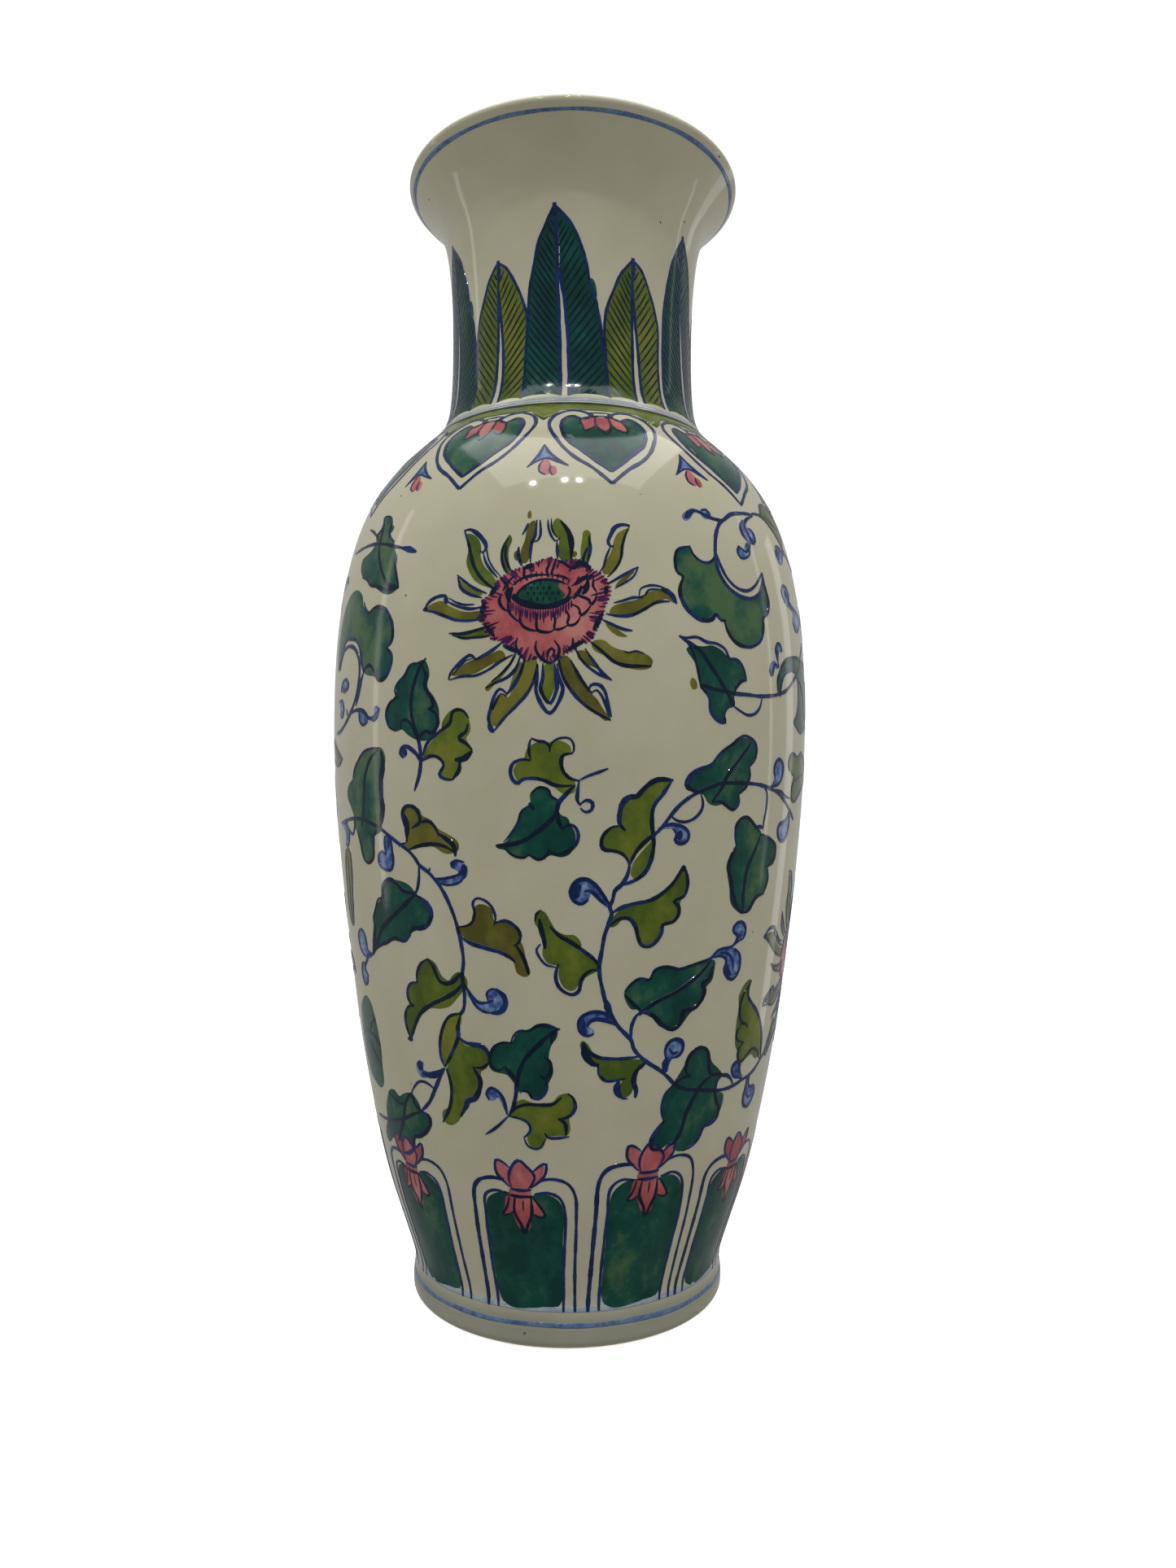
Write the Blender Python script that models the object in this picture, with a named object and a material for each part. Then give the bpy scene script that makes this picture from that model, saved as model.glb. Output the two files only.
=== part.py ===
"""A tall porcelain baluster vase, built up the way a potter builds one.

Thrown and turned sections (foot ring, floor, two halves of the body, neck, mouth) stand on each
other with a seam of slip between them. On the glaze lie painted bands, the leaves round the neck,
the lappets of the shoulder, the panels above the foot and four blossoms on the body, each a thin
field of enamel. The origin is the middle of the foot, +Z is up and -Y is the vase's front.
"""

import math

import bmesh
import bpy
from mathutils import Vector

MM = 0.001

# Driving dimensions, in millimetres.
HEIGHT = 360.0
SEGMENTS = 40
WALL = 4.5
LIP_RADIUS = 1.6
LIP_OUTER_RADIUS = 54.2
FLOOR_BOTTOM = 6.0
FLOOR_TOP = 11.4
CLEARANCE = 0.3  # the gap kept between neighbouring solids
SLIP = 1.0  # thickness of a slip seam

# Heights of the seams between the thrown sections.
FOOT_SEAM = 12.5
WAIST_SEAM = 150.0
SHOULDER_SEAM = 275.5
MOUTH_SEAM = 340.0
SEAM_HALF_GAP = SLIP / 2 + CLEARANCE

# Foot ring.
FOOT_RADIUS = 50.0
FOOT_ROUNDING = 3.0
BEARING_INNER_RADIUS = 43.0
LEDGE_RADIUS = 41.5

# Enamel and painted lines stand on the glaze.
ENAMEL_GAP = 0.35
ENAMEL_THICKNESS = 0.4

# The outer line of the vase above the foot's rounded edge: (height, radius).
OUTER_LINE = (
    (5.0, 50.0), (9.0, 49.5), (12.5, 49.3), (18.0, 51.0), (27.0, 54.0), (40.0, 58.2),
    (58.0, 62.5), (80.0, 66.7), (108.0, 70.6), (140.0, 74.3), (168.0, 76.3), (190.0, 76.6),
    (210.0, 75.6), (226.0, 73.3), (238.0, 70.4), (247.0, 67.0), (255.0, 62.4), (262.0, 56.9),
    (268.0, 50.8), (272.0, 46.5), (275.5, 43.4), (281.0, 41.0), (290.0, 39.9), (303.0, 39.5),
    (318.0, 39.8), (331.0, 40.8), (340.0, 42.1), (346.0, 44.0), (351.0, 47.4), (355.0, 51.3),
    (357.6, 53.9),
)  # fmt: skip

# What repeats round the vase. The first angles are those of the front, and the others fill the
# back evenly. An angle is in degrees from the front, towards +X.
NECK_LEAVES = 12
NECK_LEAF_FRONT = (-67.0, -35.0, -5.0, 27.0, 60.0)
LAPPETS = 10
LAPPET_FRONT = (-27.0, 9.0, 46.0)
PANELS = 10
PANEL_FRONT = (-49.5, -12.5, 21.5, 54.5)
UPPER_BLOSSOM_ANGLES = (-4.5, 175.5)
LOWER_BLOSSOM_ANGLES = (82.0, 262.0)

COLOURS = {
    # name: (red, green, blue, roughness)
    "porcelain": (0.78, 0.75, 0.67, 0.08),
    "biscuit": (0.72, 0.68, 0.60, 0.70),
    "cobalt_line": (0.05, 0.10, 0.30, 0.12),
    "leaf_green": (0.012, 0.105, 0.075, 0.10),
    "moss_green": (0.18, 0.22, 0.035, 0.10),
    "rose_pink": (0.52, 0.12, 0.11, 0.14),
}


def radius_at(height):
    """The vase's outer radius at a height, on a smooth curve through OUTER_LINE."""
    points = OUTER_LINE
    last = len(points) - 2
    index = next((i for i in range(last) if height <= points[i + 1][0]), last)
    before = points[max(index - 1, 0)]
    start, end = points[index], points[index + 1]
    after = points[min(index + 2, last + 1)]
    span = end[0] - start[0]
    slope_in = (end[1] - before[1]) / (end[0] - before[0])
    slope_out = (after[1] - start[1]) / (after[0] - start[0])
    t = (height - start[0]) / span
    return (
        (2 * t**3 - 3 * t**2 + 1) * start[1]
        + (t**3 - 2 * t**2 + t) * span * slope_in
        + (3 * t**2 - 2 * t**3) * end[1]
        + (t**3 - t**2) * span * slope_out
    )


def outward(height):
    """(radial, upward) parts of the unit normal of the outer line."""
    step = 0.05
    slope = (radius_at(height + step) - radius_at(height - step)) / (2 * step)
    length = math.hypot(1.0, slope)
    return 1.0 / length, -slope / length


def wall_thickness(height):
    """The wall thins from the neck to the lip."""
    thinning = min(max((height - 330.0) / 28.0, 0.0), 1.0)
    return WALL + (2 * LIP_RADIUS - WALL) * thinning


def off_wall(height, distance):
    """(radius, height) of the point at a distance outside the wall, or inside if negative."""
    radial, upward = outward(height)
    return radius_at(height) + distance * radial, height + distance * upward


def rows_between(low, high):
    """Heights from low to high, at the outer line's own points and at both ends."""
    clear = 1.2
    return [low] + [h for h, _ in OUTER_LINE if low + clear < h < high - clear] + [high]


def wall_profile(low, high):
    """The closed section of the wall between two heights, its ends square to the wall."""
    heights = rows_between(low, high)
    outside = [off_wall(h, 0.0) for h in heights]
    inside = [off_wall(h, -wall_thickness(h)) for h in heights]
    return outside + inside[::-1]


def arc(centre, radius, start, end, steps):
    """Points on an arc in the (radius, height) plane, with angles in degrees."""
    angles = [math.radians(start + (end - start) * i / steps) for i in range(steps + 1)]
    return [(centre[0] + radius * math.cos(a), centre[1] + radius * math.sin(a)) for a in angles]


def material(name):
    """The named Principled material, made on first use."""
    found = bpy.data.materials.get(name)
    if found:
        return found
    red, green, blue, roughness = COLOURS[name]
    made = bpy.data.materials.new(name)
    made.use_nodes = True
    shader = made.node_tree.nodes["Principled BSDF"]
    shader.inputs["Base Color"].default_value = (red, green, blue, 1.0)
    shader.inputs["Roughness"].default_value = roughness
    shader.inputs["Metallic"].default_value = 0.0
    made.diffuse_color = (red, green, blue, 1.0)
    return made


def add_object(name, shape, finish):
    """Turns a bmesh into a smooth-shaded object on the vase."""
    bmesh.ops.recalc_face_normals(shape, faces=shape.faces)
    mesh = bpy.data.meshes.new(name)
    shape.to_mesh(mesh)
    shape.free()
    mesh.shade_smooth()
    mesh.set_sharp_from_angle(angle=math.radians(35))
    mesh.materials.append(material(finish))
    made = bpy.data.objects.new(name, mesh)
    bpy.context.scene.collection.objects.link(made)
    made.parent = bpy.data.objects["vase"]
    return made


def turned(name, profile, finish):
    """A solid of revolution from a closed (radius, height) section."""
    shape = bmesh.new()
    corners = [shape.verts.new((r * MM, 0.0, h * MM)) for r, h in profile]
    edges = [shape.edges.new((a, b)) for a, b in zip(corners, corners[1:] + corners[:1])]
    bmesh.ops.spin(
        shape,
        geom=corners + edges,
        axis=(0, 0, 1),
        cent=(0, 0, 0),
        angle=math.tau,
        steps=SEGMENTS,
    )
    bmesh.ops.remove_doubles(shape, verts=shape.verts, dist=0.01 * MM)
    return add_object(name, shape, finish)


def on_glaze(angle, height):
    """The point of the enamel's outer face at an angle in degrees and a height."""
    radius, lifted = off_wall(height, ENAMEL_GAP + ENAMEL_THICKNESS)
    turn = math.radians(angle)
    return Vector((radius * math.sin(turn), -radius * math.cos(turn), lifted)) * MM


def enamel(name, shape, finish):
    """Gives a sheet of enamel its thickness, towards the glaze."""
    made = add_object(name, shape, finish)
    solid = made.modifiers.new("thickness", "SOLIDIFY")
    solid.thickness = ENAMEL_THICKNESS * MM
    solid.offset = -1.0
    return made


def enamel_field(name, angle, heights, half_width, columns, finish):
    """Enamel on both sides of an upright centre line, half_width(height) wide each way."""
    shape = bmesh.new()
    rows = []
    for height in heights:
        spread = math.degrees(half_width(height) / radius_at(height))
        places = [angle + spread * (2 * i / columns - 1) for i in range(columns + 1)]
        rows.append([shape.verts.new(on_glaze(place, height)) for place in places])
    for lower, upper in zip(rows, rows[1:]):
        for i in range(columns):
            shape.faces.new((lower[i], lower[i + 1], upper[i + 1], upper[i]))
    face_out(shape, angle)
    return enamel(name, shape, finish)


def blossom(name, angle, height, half_width, half_height, petals, finish):
    """A round field of enamel with a scalloped edge."""
    shape = bmesh.new()
    spokes = 2 * petals
    centre = shape.verts.new(on_glaze(angle, height))
    rings = []
    for share in (0.5, 1.0):
        ring = []
        for i in range(spokes):
            turn = math.tau * i / spokes
            reach = share * (1.0 if i % 2 else 0.86)
            level = height + half_height * reach * math.sin(turn)
            spread = math.degrees(half_width * reach * math.cos(turn) / radius_at(level))
            ring.append(shape.verts.new(on_glaze(angle + spread, level)))
        rings.append(ring)
    inner, outer = rings
    for i in range(spokes):
        j = (i + 1) % spokes
        shape.faces.new((centre, inner[i], inner[j]))
        shape.faces.new((inner[i], outer[i], outer[j], inner[j]))
    face_out(shape, angle)
    return enamel(name, shape, finish)


def face_out(shape, angle):
    """Turns a sheet's faces away from the vase's axis, so that its thickness goes inwards."""
    turn = math.radians(angle)
    away = Vector((math.sin(turn), -math.cos(turn), 0.0))
    bmesh.ops.recalc_face_normals(shape, faces=shape.faces)
    shape.normal_update()
    if sum((face.normal.dot(away) for face in shape.faces)) < 0:
        bmesh.ops.reverse_faces(shape, faces=shape.faces)


def painted_band(name, low, high, finish):
    """A line or band of paint all the way round."""
    heights = rows_between(low, high)
    outside = [off_wall(h, ENAMEL_GAP + ENAMEL_THICKNESS) for h in heights]
    inside = [off_wall(h, ENAMEL_GAP) for h in heights]
    return turned(name, outside + inside[::-1], finish)


def around(front, count):
    """Angles of count pieces round the vase: those of the front, then the rest spaced evenly."""
    missing = count - len(front)
    pitch = (360.0 - (front[-1] - front[0])) / (missing + 1)
    return list(front) + [front[-1] + pitch * (i + 1) for i in range(missing)]


def build_foot():
    """The foot ring carries the floor on a ledge, and stands on a flat bearing edge."""
    top = FOOT_SEAM - SEAM_HALF_GAP
    seat = FLOOR_BOTTOM - CLEARANCE
    inner = radius_at(FOOT_SEAM) - WALL
    rounding_centre = (FOOT_RADIUS - FOOT_ROUNDING, FOOT_ROUNDING)
    ring = [(inner, top), (radius_at(top), top), (radius_at(9.0), 9.0), (FOOT_RADIUS, 5.0)]
    ring += arc(rounding_centre, FOOT_ROUNDING, 0, -90, 4)
    ring += [(BEARING_INNER_RADIUS, 0.0), (LEDGE_RADIUS, 1.5), (LEDGE_RADIUS, seat)]
    ring += [(inner, seat)]
    turned("foot_ring", ring, "biscuit")
    edge = inner - CLEARANCE
    floor = [(0.0, FLOOR_BOTTOM), (edge, FLOOR_BOTTOM), (edge, FLOOR_TOP), (0.0, FLOOR_TOP)]
    turned("base_floor", floor, "porcelain")


def build_wall_sections():
    """The body's two halves and the neck, each between two seams."""
    sections = (
        ("lower_body", FOOT_SEAM, WAIST_SEAM),
        ("upper_body", WAIST_SEAM, SHOULDER_SEAM),
        ("neck", SHOULDER_SEAM, MOUTH_SEAM),
    )
    for name, low, high in sections:
        turned(name, wall_profile(low + SEAM_HALF_GAP, high - SEAM_HALF_GAP), "porcelain")


def build_mouth():
    """The flared mouth ends in a round lip."""
    flare_end = OUTER_LINE[-1][0]
    heights = rows_between(MOUTH_SEAM + SEAM_HALF_GAP, flare_end)
    outside = [off_wall(h, 0.0) for h in heights]
    inside = [off_wall(h, -wall_thickness(h)) for h in heights[:-1]]
    lip_centre = (LIP_OUTER_RADIUS - LIP_RADIUS, HEIGHT - LIP_RADIUS)
    lip = arc(lip_centre, LIP_RADIUS, -10, 190, 6)
    turned("mouth", outside + lip + inside[::-1], "porcelain")


def build_slip_seams():
    """The slip that holds each pair of sections together."""
    seams = (
        ("slip_seam_foot", FOOT_SEAM),
        ("slip_seam_waist", WAIST_SEAM),
        ("slip_seam_shoulder", SHOULDER_SEAM),
        ("slip_seam_mouth", MOUTH_SEAM),
    )
    for name, height in seams:
        turned(name, wall_profile(height - SLIP / 2, height + SLIP / 2), "biscuit")


def build_bands():
    """The lines and the band painted all the way round."""
    painted_band("foot_line_lower", 7.3, 8.5, "cobalt_line")
    painted_band("foot_line_upper", 11.6, 13.2, "cobalt_line")
    painted_band("collar_band", 270.6, 273.4, "moss_green")
    painted_band("collar_line", 274.2, 275.8, "cobalt_line")
    painted_band("mouth_line", 355.0, 356.2, "cobalt_line")


def build_neck_leaves():
    """Tall dark leaves and short bright ones take turns round the neck."""
    foot = 277.6
    for i, angle in enumerate(around(NECK_LEAF_FRONT, NECK_LEAVES)):
        tall = i % 2 == 0
        tip = 333.0 if tall else 319.5
        widest = 10.0 if tall else 9.0

        def half_width(height, tip=tip, widest=widest):
            share = (height - foot) / (tip - foot)
            return widest * math.sqrt(max(1.0 - share**2.4, 0.0)) + 0.3

        heights = rows_between(foot, tip - 10.0) + [tip - 5.0, tip - 1.5, tip]
        kind = "tall" if tall else "short"
        finish = "leaf_green" if tall else "moss_green"
        enamel_field(f"neck_leaf_{kind}_{i // 2 + 1}", angle, heights, half_width, 4, finish)


def build_lappets():
    """Peach-shaped lappets hang round the shoulder, points down."""
    point, top, widest = 248.5, 267.0, 10.6

    def half_width(height):
        share = (height - point) / (top - point)
        return widest * math.sin(math.pi * (0.02 + 0.74 * share**0.8)) ** 0.9 + 0.2

    heights = [point, 250.5] + rows_between(253.0, top)
    for i, angle in enumerate(around(LAPPET_FRONT, LAPPETS)):
        enamel_field(f"shoulder_lappet_{i + 1}", angle, heights, half_width, 4, "leaf_green")


def build_panels():
    """Upright panels with round shoulders stand above the foot."""
    low, high = 14.2, 47.5

    def half_width(height):
        rounding = max(height - (high - 4.0), 0.0)
        full = 9.4 + 0.04 * (height - low)
        return full - 4.0 + math.sqrt(max(4.0**2 - rounding**2, 0.0))

    heights = rows_between(low, high - 4.0) + [high - 1.5, high]
    for i, angle in enumerate(around(PANEL_FRONT, PANELS)):
        enamel_field(f"foot_panel_{i + 1}", angle, heights, half_width, 4, "leaf_green")


def build_blossoms():
    """Two blossoms high on the body, and two low on it between them."""
    for i, angle in enumerate(UPPER_BLOSSOM_ANGLES):
        blossom(f"upper_blossom_{i + 1}", angle, 206.5, 17.0, 14.0, 10, "rose_pink")
    for i, angle in enumerate(LOWER_BLOSSOM_ANGLES):
        blossom(f"lower_blossom_{i + 1}", angle, 110.5, 17.0, 14.0, 10, "rose_pink")


def main():
    for existing in list(bpy.data.objects):
        bpy.data.objects.remove(existing)
    bpy.context.scene.collection.objects.link(bpy.data.objects.new("vase", None))
    build_foot()
    build_wall_sections()
    build_mouth()
    build_slip_seams()
    build_bands()
    build_neck_leaves()
    build_lappets()
    build_panels()
    build_blossoms()


main()
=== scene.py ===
"""The looks of a porcelain vase painted with a lotus scroll, in cobalt line and coloured enamel.

Places on the vase are (angle, height): degrees from the front, towards +X, and millimetres above
the foot. Every brush stroke and every field of enamel is a thin solid that follows the glaze.
"""

import math
import random

import bpy
import numpy as np
from mathutils import Matrix, Vector
from mathutils.geometry import delaunay_2d_cdt


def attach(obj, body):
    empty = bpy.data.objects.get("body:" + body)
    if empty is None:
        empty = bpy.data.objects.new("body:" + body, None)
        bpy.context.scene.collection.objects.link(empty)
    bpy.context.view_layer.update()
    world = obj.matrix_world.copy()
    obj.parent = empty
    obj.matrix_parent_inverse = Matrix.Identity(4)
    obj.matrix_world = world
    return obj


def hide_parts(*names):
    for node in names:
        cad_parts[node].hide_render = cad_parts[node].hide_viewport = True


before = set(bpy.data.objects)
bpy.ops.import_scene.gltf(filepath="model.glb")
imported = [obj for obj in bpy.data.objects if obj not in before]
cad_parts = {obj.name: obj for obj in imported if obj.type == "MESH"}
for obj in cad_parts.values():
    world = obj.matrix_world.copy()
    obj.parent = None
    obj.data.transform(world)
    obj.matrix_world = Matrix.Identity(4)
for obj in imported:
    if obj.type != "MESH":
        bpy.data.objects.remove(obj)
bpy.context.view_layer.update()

MM = 0.001
TURN = math.radians(1.0)

# ---------------------------------------------------------------------------------------------
# The form
# ---------------------------------------------------------------------------------------------

HEIGHT = 360.0
WALL = 4.5
LIP_RADIUS = 1.6
LIP_OUTER_RADIUS = 54.2
FLOOR_TOP = 11.4
RECESS_TOP = 6.0
FOOT_ROUNDING = 3.0
FOOT_RADIUS = 50.0
BEARING_INNER_RADIUS = 43.0
RECESS_RADIUS = 41.5
FOOT_TOP = 5.0
BISCUIT_TOP = 1.3
FLARE_END = 357.6
FLOOR_CORNER_RADIUS = 8.0
FOOT_LAP = 0.6
RECESS_EDGE = (RECESS_RADIUS, 2.4)
SEGMENTS = 288
LINE_STEP = 0.25
LINE_BLUR = 2.4

# The outer line above the foot's rounded edge: (height, radius).
OUTER_LINE = (
    (5.0, 50.0), (9.0, 49.5), (12.5, 49.3), (18.0, 51.0), (27.0, 54.0), (40.0, 58.2),
    (58.0, 62.5), (80.0, 66.7), (108.0, 70.6), (140.0, 74.3), (168.0, 76.3), (190.0, 76.6),
    (210.0, 75.6), (226.0, 73.3), (238.0, 70.4), (247.0, 67.0), (255.0, 62.4), (262.0, 56.9),
    (268.0, 50.8), (272.0, 46.5), (275.5, 43.4), (281.0, 41.0), (290.0, 39.9), (303.0, 39.5),
    (318.0, 39.8), (331.0, 40.8), (340.0, 42.1), (346.0, 44.0), (351.0, 47.4), (355.0, 51.3),
    (357.6, 53.9),
)  # fmt: skip


def hermite_radius(height):
    """The outer radius on a smooth curve through OUTER_LINE."""
    last = len(OUTER_LINE) - 2
    index = next((i for i in range(last) if height <= OUTER_LINE[i + 1][0]), last)
    before, start = OUTER_LINE[max(index - 1, 0)], OUTER_LINE[index]
    end, after = OUTER_LINE[index + 1], OUTER_LINE[min(index + 2, last + 1)]
    span = end[0] - start[0]
    slope_in = (end[1] - before[1]) / (end[0] - before[0])
    slope_out = (after[1] - start[1]) / (after[0] - start[0])
    t = (height - start[0]) / span
    return (
        (2 * t**3 - 3 * t**2 + 1) * start[1]
        + (t**3 - 2 * t**2 + t) * span * slope_in
        + (3 * t**2 - 2 * t**3) * end[1]
        + (t**3 - t**2) * span * slope_out
    )


def softened_line():
    """The outer line sampled finely and softened as a thrown wall is, apart from its two ends."""
    heights = np.arange(OUTER_LINE[0][0], FLARE_END + LINE_STEP / 2, LINE_STEP)
    radii = np.array([hermite_radius(h) for h in heights])
    reach = int(4 * LINE_BLUR / LINE_STEP)
    kernel = np.exp(-0.5 * (np.arange(-reach, reach + 1) * LINE_STEP / LINE_BLUR) ** 2)
    padded = np.pad(radii, reach, mode="reflect", reflect_type="odd")
    soft = np.convolve(padded, kernel / kernel.sum(), mode="valid")
    return heights, soft


LINE_HEIGHTS, LINE_RADII = softened_line()
LINE_SLOPES = np.gradient(LINE_RADII, LINE_HEIGHTS)


def radius_at(height):
    """The outer radius of the glaze in mm."""
    return np.interp(height, LINE_HEIGHTS, LINE_RADII)


def on_vase(angle, height):
    """Points in metres on the glaze at angles and heights. Takes numbers or arrays."""
    height = np.asarray(height, float)
    radius, turn = radius_at(height), np.asarray(angle, float) * TURN
    return np.stack([radius * np.sin(turn), -radius * np.cos(turn), height], -1) * MM


def normal_at(angle, height):
    """Unit vectors that point out of the glaze. Takes numbers or arrays."""
    slope = np.interp(np.asarray(height, float), LINE_HEIGHTS, LINE_SLOPES)
    length = np.sqrt(1.0 + slope**2)
    turn = np.asarray(angle, float) * TURN
    return np.stack([np.sin(turn) / length, -np.cos(turn) / length, -slope / length], -1)


def add_mesh(name, points, faces, material, replaces=()):
    """A piece of the vase from points in metres and faces."""
    mesh = bpy.data.meshes.new(name)
    mesh.from_pydata([tuple(p) for p in points], [], [tuple(f) for f in faces])
    mesh.validate()
    mesh.shade_smooth()
    mesh.materials.append(material)
    made = bpy.data.objects.new(name, mesh)
    bpy.context.scene.collection.objects.link(made)
    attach(made, "root")
    if replaces:
        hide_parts(*replaces)
    return made


def turned(name, profile, material, replaces=()):
    """A surface of revolution from (radius, height) points in mm, with at most its end on axis."""
    points, faces, rows = [], [], []
    for radius, height in profile:
        if radius < 1e-6:
            rows.append([len(points)])
            points.append((0.0, 0.0, height * MM))
            continue
        rows.append(list(range(len(points), len(points) + SEGMENTS)))
        for i in range(SEGMENTS):
            turn = math.tau * i / SEGMENTS
            points.append((radius * MM * math.sin(turn), -radius * MM * math.cos(turn), height * MM))
    for a, b in zip(rows, rows[1:]):
        for i in range(SEGMENTS):
            j = (i + 1) % SEGMENTS
            if len(b) == 1:
                faces.append((a[i], a[j], b[0]))
            else:
                faces.append((a[i], a[j], b[j], b[i]))
    return add_mesh(name, points, faces, material, replaces)


def arc(centre, radius, start, end, steps):
    """Points on an arc from one angle to another in degrees."""
    angles = [(start + (end - start) * i / steps) * TURN for i in range(steps + 1)]
    return [(centre[0] + radius * math.cos(a), centre[1] + radius * math.sin(a)) for a in angles]


# ---------------------------------------------------------------------------------------------
# The drawing. A field is (enamel, outline); a line is (width in mm, points, and, if it isn't a
# plain tapering stroke, "blunt" or "closed"). All points are (angle, height) on the front.
# ---------------------------------------------------------------------------------------------

DARK, MOSS, OLIVE = "leaf_green", "moss_green", "olive"
ROSE, WASH, POD = "rose_pink", "cobalt_wash", "seed_pod"

# The upper blossom's petals, clockwise from the upper left: their fields, then their lines.
PETAL_FIELDS = (
    (MOSS, ((-23, 229), (-21.6, 228.7), (-20, 227), (-19.3, 224.7), (-19.3, 222.3), (-18.2, 219.3),
            (-15.9, 216), (-15.2, 213.3), (-17.7, 213.7), (-20, 215.3), (-21.6, 218), (-22.5, 221),
            (-22.3, 224), (-22.5, 226.7))),
    (MOSS, ((-13.1, 228), (-12.5, 226.3), (-13.1, 224), (-13, 220.7), (-12.5, 217.3), (-13.6, 217.3),
            (-14.6, 220), (-14.8, 222.7), (-14.1, 225.7))),
    (OLIVE, ((-7.8, 231.7), (-7.5, 229.3), (-7.8, 226.7), (-8.6, 224), (-8.7, 221), (-9.3, 219.7),
            (-10.5, 220), (-10.5, 223.3), (-9.8, 226), (-9.5, 228.7), (-8.9, 231))),
    (OLIVE, ((-9, 234.7), (-8.6, 233.5), (-8.8, 232.2), (-9.4, 232.5), (-9.4, 234))),
    (OLIVE, ((-11.3, 223.4), (-10.9, 221.5), (-11.2, 220.3), (-11.9, 221.3), (-11.9, 222.8))),
    (MOSS, ((-3, 232.3), (-1.6, 231), (-0.5, 229), (0, 226.7), (0.1, 223.3), (0, 220.7),
            (-1.1, 220.1), (-2.3, 220.7), (-2.7, 224), (-2.5, 226.3), (-3.4, 227), (-4, 228.7),
            (-3.9, 231))),
    (OLIVE, ((0.2, 222.4), (0.7, 223), (1.3, 222.4), (0.8, 221.2), (0.3, 221.2))),
    (MOSS, ((3.2, 229), (4, 228.3), (4, 225.7), (3.7, 222.7), (3.5, 220), (2.3, 220), (1.9, 222.7),
            (2.3, 226.7), (2.5, 228.5))),
    (OLIVE, ((11.6, 229.7), (12.5, 230), (11.4, 227.3), (10.9, 224.3), (10.5, 221.3), (9.3, 218.3),
             (7.5, 216.7), (6.4, 217), (7, 220), (8, 222.3), (8.6, 224.3), (8.9, 226),
             (9.8, 228.3))),
    (OLIVE, ((13.2, 218), (11.8, 216), (10, 213.7), (8.9, 213.3), (9.5, 214.7), (10.9, 216.3),
             (12.3, 217.7))),
    (OLIVE, ((21.5, 209.9), (20, 210.9), (18.2, 210), (15.9, 208), (13.6, 206.3), (10.5, 205.7),
             (7.7, 206.3), (8.4, 208), (10.9, 209.3), (13.6, 210.3), (15, 211.7), (17.3, 213),
             (19.8, 213.2), (21.2, 211.6))),
    (OLIVE, ((6.8, 203.7), (8.6, 202.7), (10, 201.3), (11.4, 200), (9.5, 200.1), (7.7, 201.7))),
    (OLIVE, ((4.1, 198.3), (6.4, 199), (8.2, 197.3), (10.5, 196.3), (12.7, 196), (15, 195.7),
             (16.6, 194), (16.1, 192), (14.1, 191.3), (11.4, 191.7), (9.1, 192.7), (6.8, 194.7),
             (4.5, 196.3))),
    (OLIVE, ((1.4, 196), (3.2, 195.7), (4.1, 193.3), (5.5, 191.3), (6.1, 190.7), (4.5, 191.7),
             (2.7, 192.7), (1.4, 194))),
    (OLIVE, ((-2.5, 194), (-0.9, 194.7), (0.2, 193.3), (1.4, 190), (3.2, 186.7), (4.1, 184.7),
            (5.2, 183.3), (6.8, 180), (8, 178.3), (7, 177.5), (5.2, 179.3), (3.2, 181.3),
            (1.1, 184), (-0.9, 187.3), (-2, 190))),
    (MOSS, ((-5.1, 192.3), (-3.2, 192.3), (-3.3, 189.3), (-3.2, 186), (-4.1, 183), (-4.3, 182),
            (-5.5, 184), (-5.9, 185.7), (-5.5, 188.7))),
    (OLIVE, ((-9.3, 193.3), (-6.8, 193.7), (-6.6, 191.3), (-7.3, 188), (-9.1, 184), (-11.4, 181.3),
             (-13.4, 178.3), (-15, 176), (-16.1, 177.3), (-16.1, 180.7), (-15.2, 183.3),
             (-13.6, 184.3), (-12.3, 183.7), (-11.8, 185.3), (-10.2, 189.3))),
    (OLIVE, ((-9.8, 193.3), (-10, 190), (-11.4, 187.3), (-12.3, 185.3), (-11.8, 188),
             (-10.9, 191.3))),
    (OLIVE, ((-10.7, 195.3), (-11.4, 193.3), (-13.2, 190), (-15.2, 187.3), (-16.8, 185.3),
             (-17.3, 186.3), (-15.9, 188), (-13.6, 190.7), (-12, 193.3))),
    (OLIVE, ((-13.6, 196), (-14.3, 196.3), (-16.4, 195.3), (-18.2, 194.7), (-20, 194),
             (-22.3, 192.7), (-24.1, 191), (-25.2, 190.2), (-24.3, 189.9), (-22.3, 190),
             (-19.5, 190.3), (-17.3, 191.7), (-15.2, 193), (-13, 193.7))),
    (MOSS, ((-25, 201.7), (-22.3, 201.5), (-19.5, 202), (-16.8, 202.7), (-15.7, 202),
            (-16.8, 200), (-20.5, 199.7), (-22.7, 200))),
    (OLIVE, ((-31.8, 208.9), (-30, 210.2), (-27.6, 210.6), (-26, 209.2), (-22.7, 207.3),
             (-20.5, 207), (-18.2, 207), (-17.7, 205.3), (-19.5, 204.9), (-22.7, 205),
             (-26, 206), (-29, 207.6))),
    (MOSS, ((-24.1, 216.3), (-22.3, 214.7), (-20, 213), (-18.2, 211.7), (-19.1, 211.2),
            (-20.9, 211.7), (-22.7, 213.3), (-23.7, 215))),
)  # fmt: skip

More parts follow.
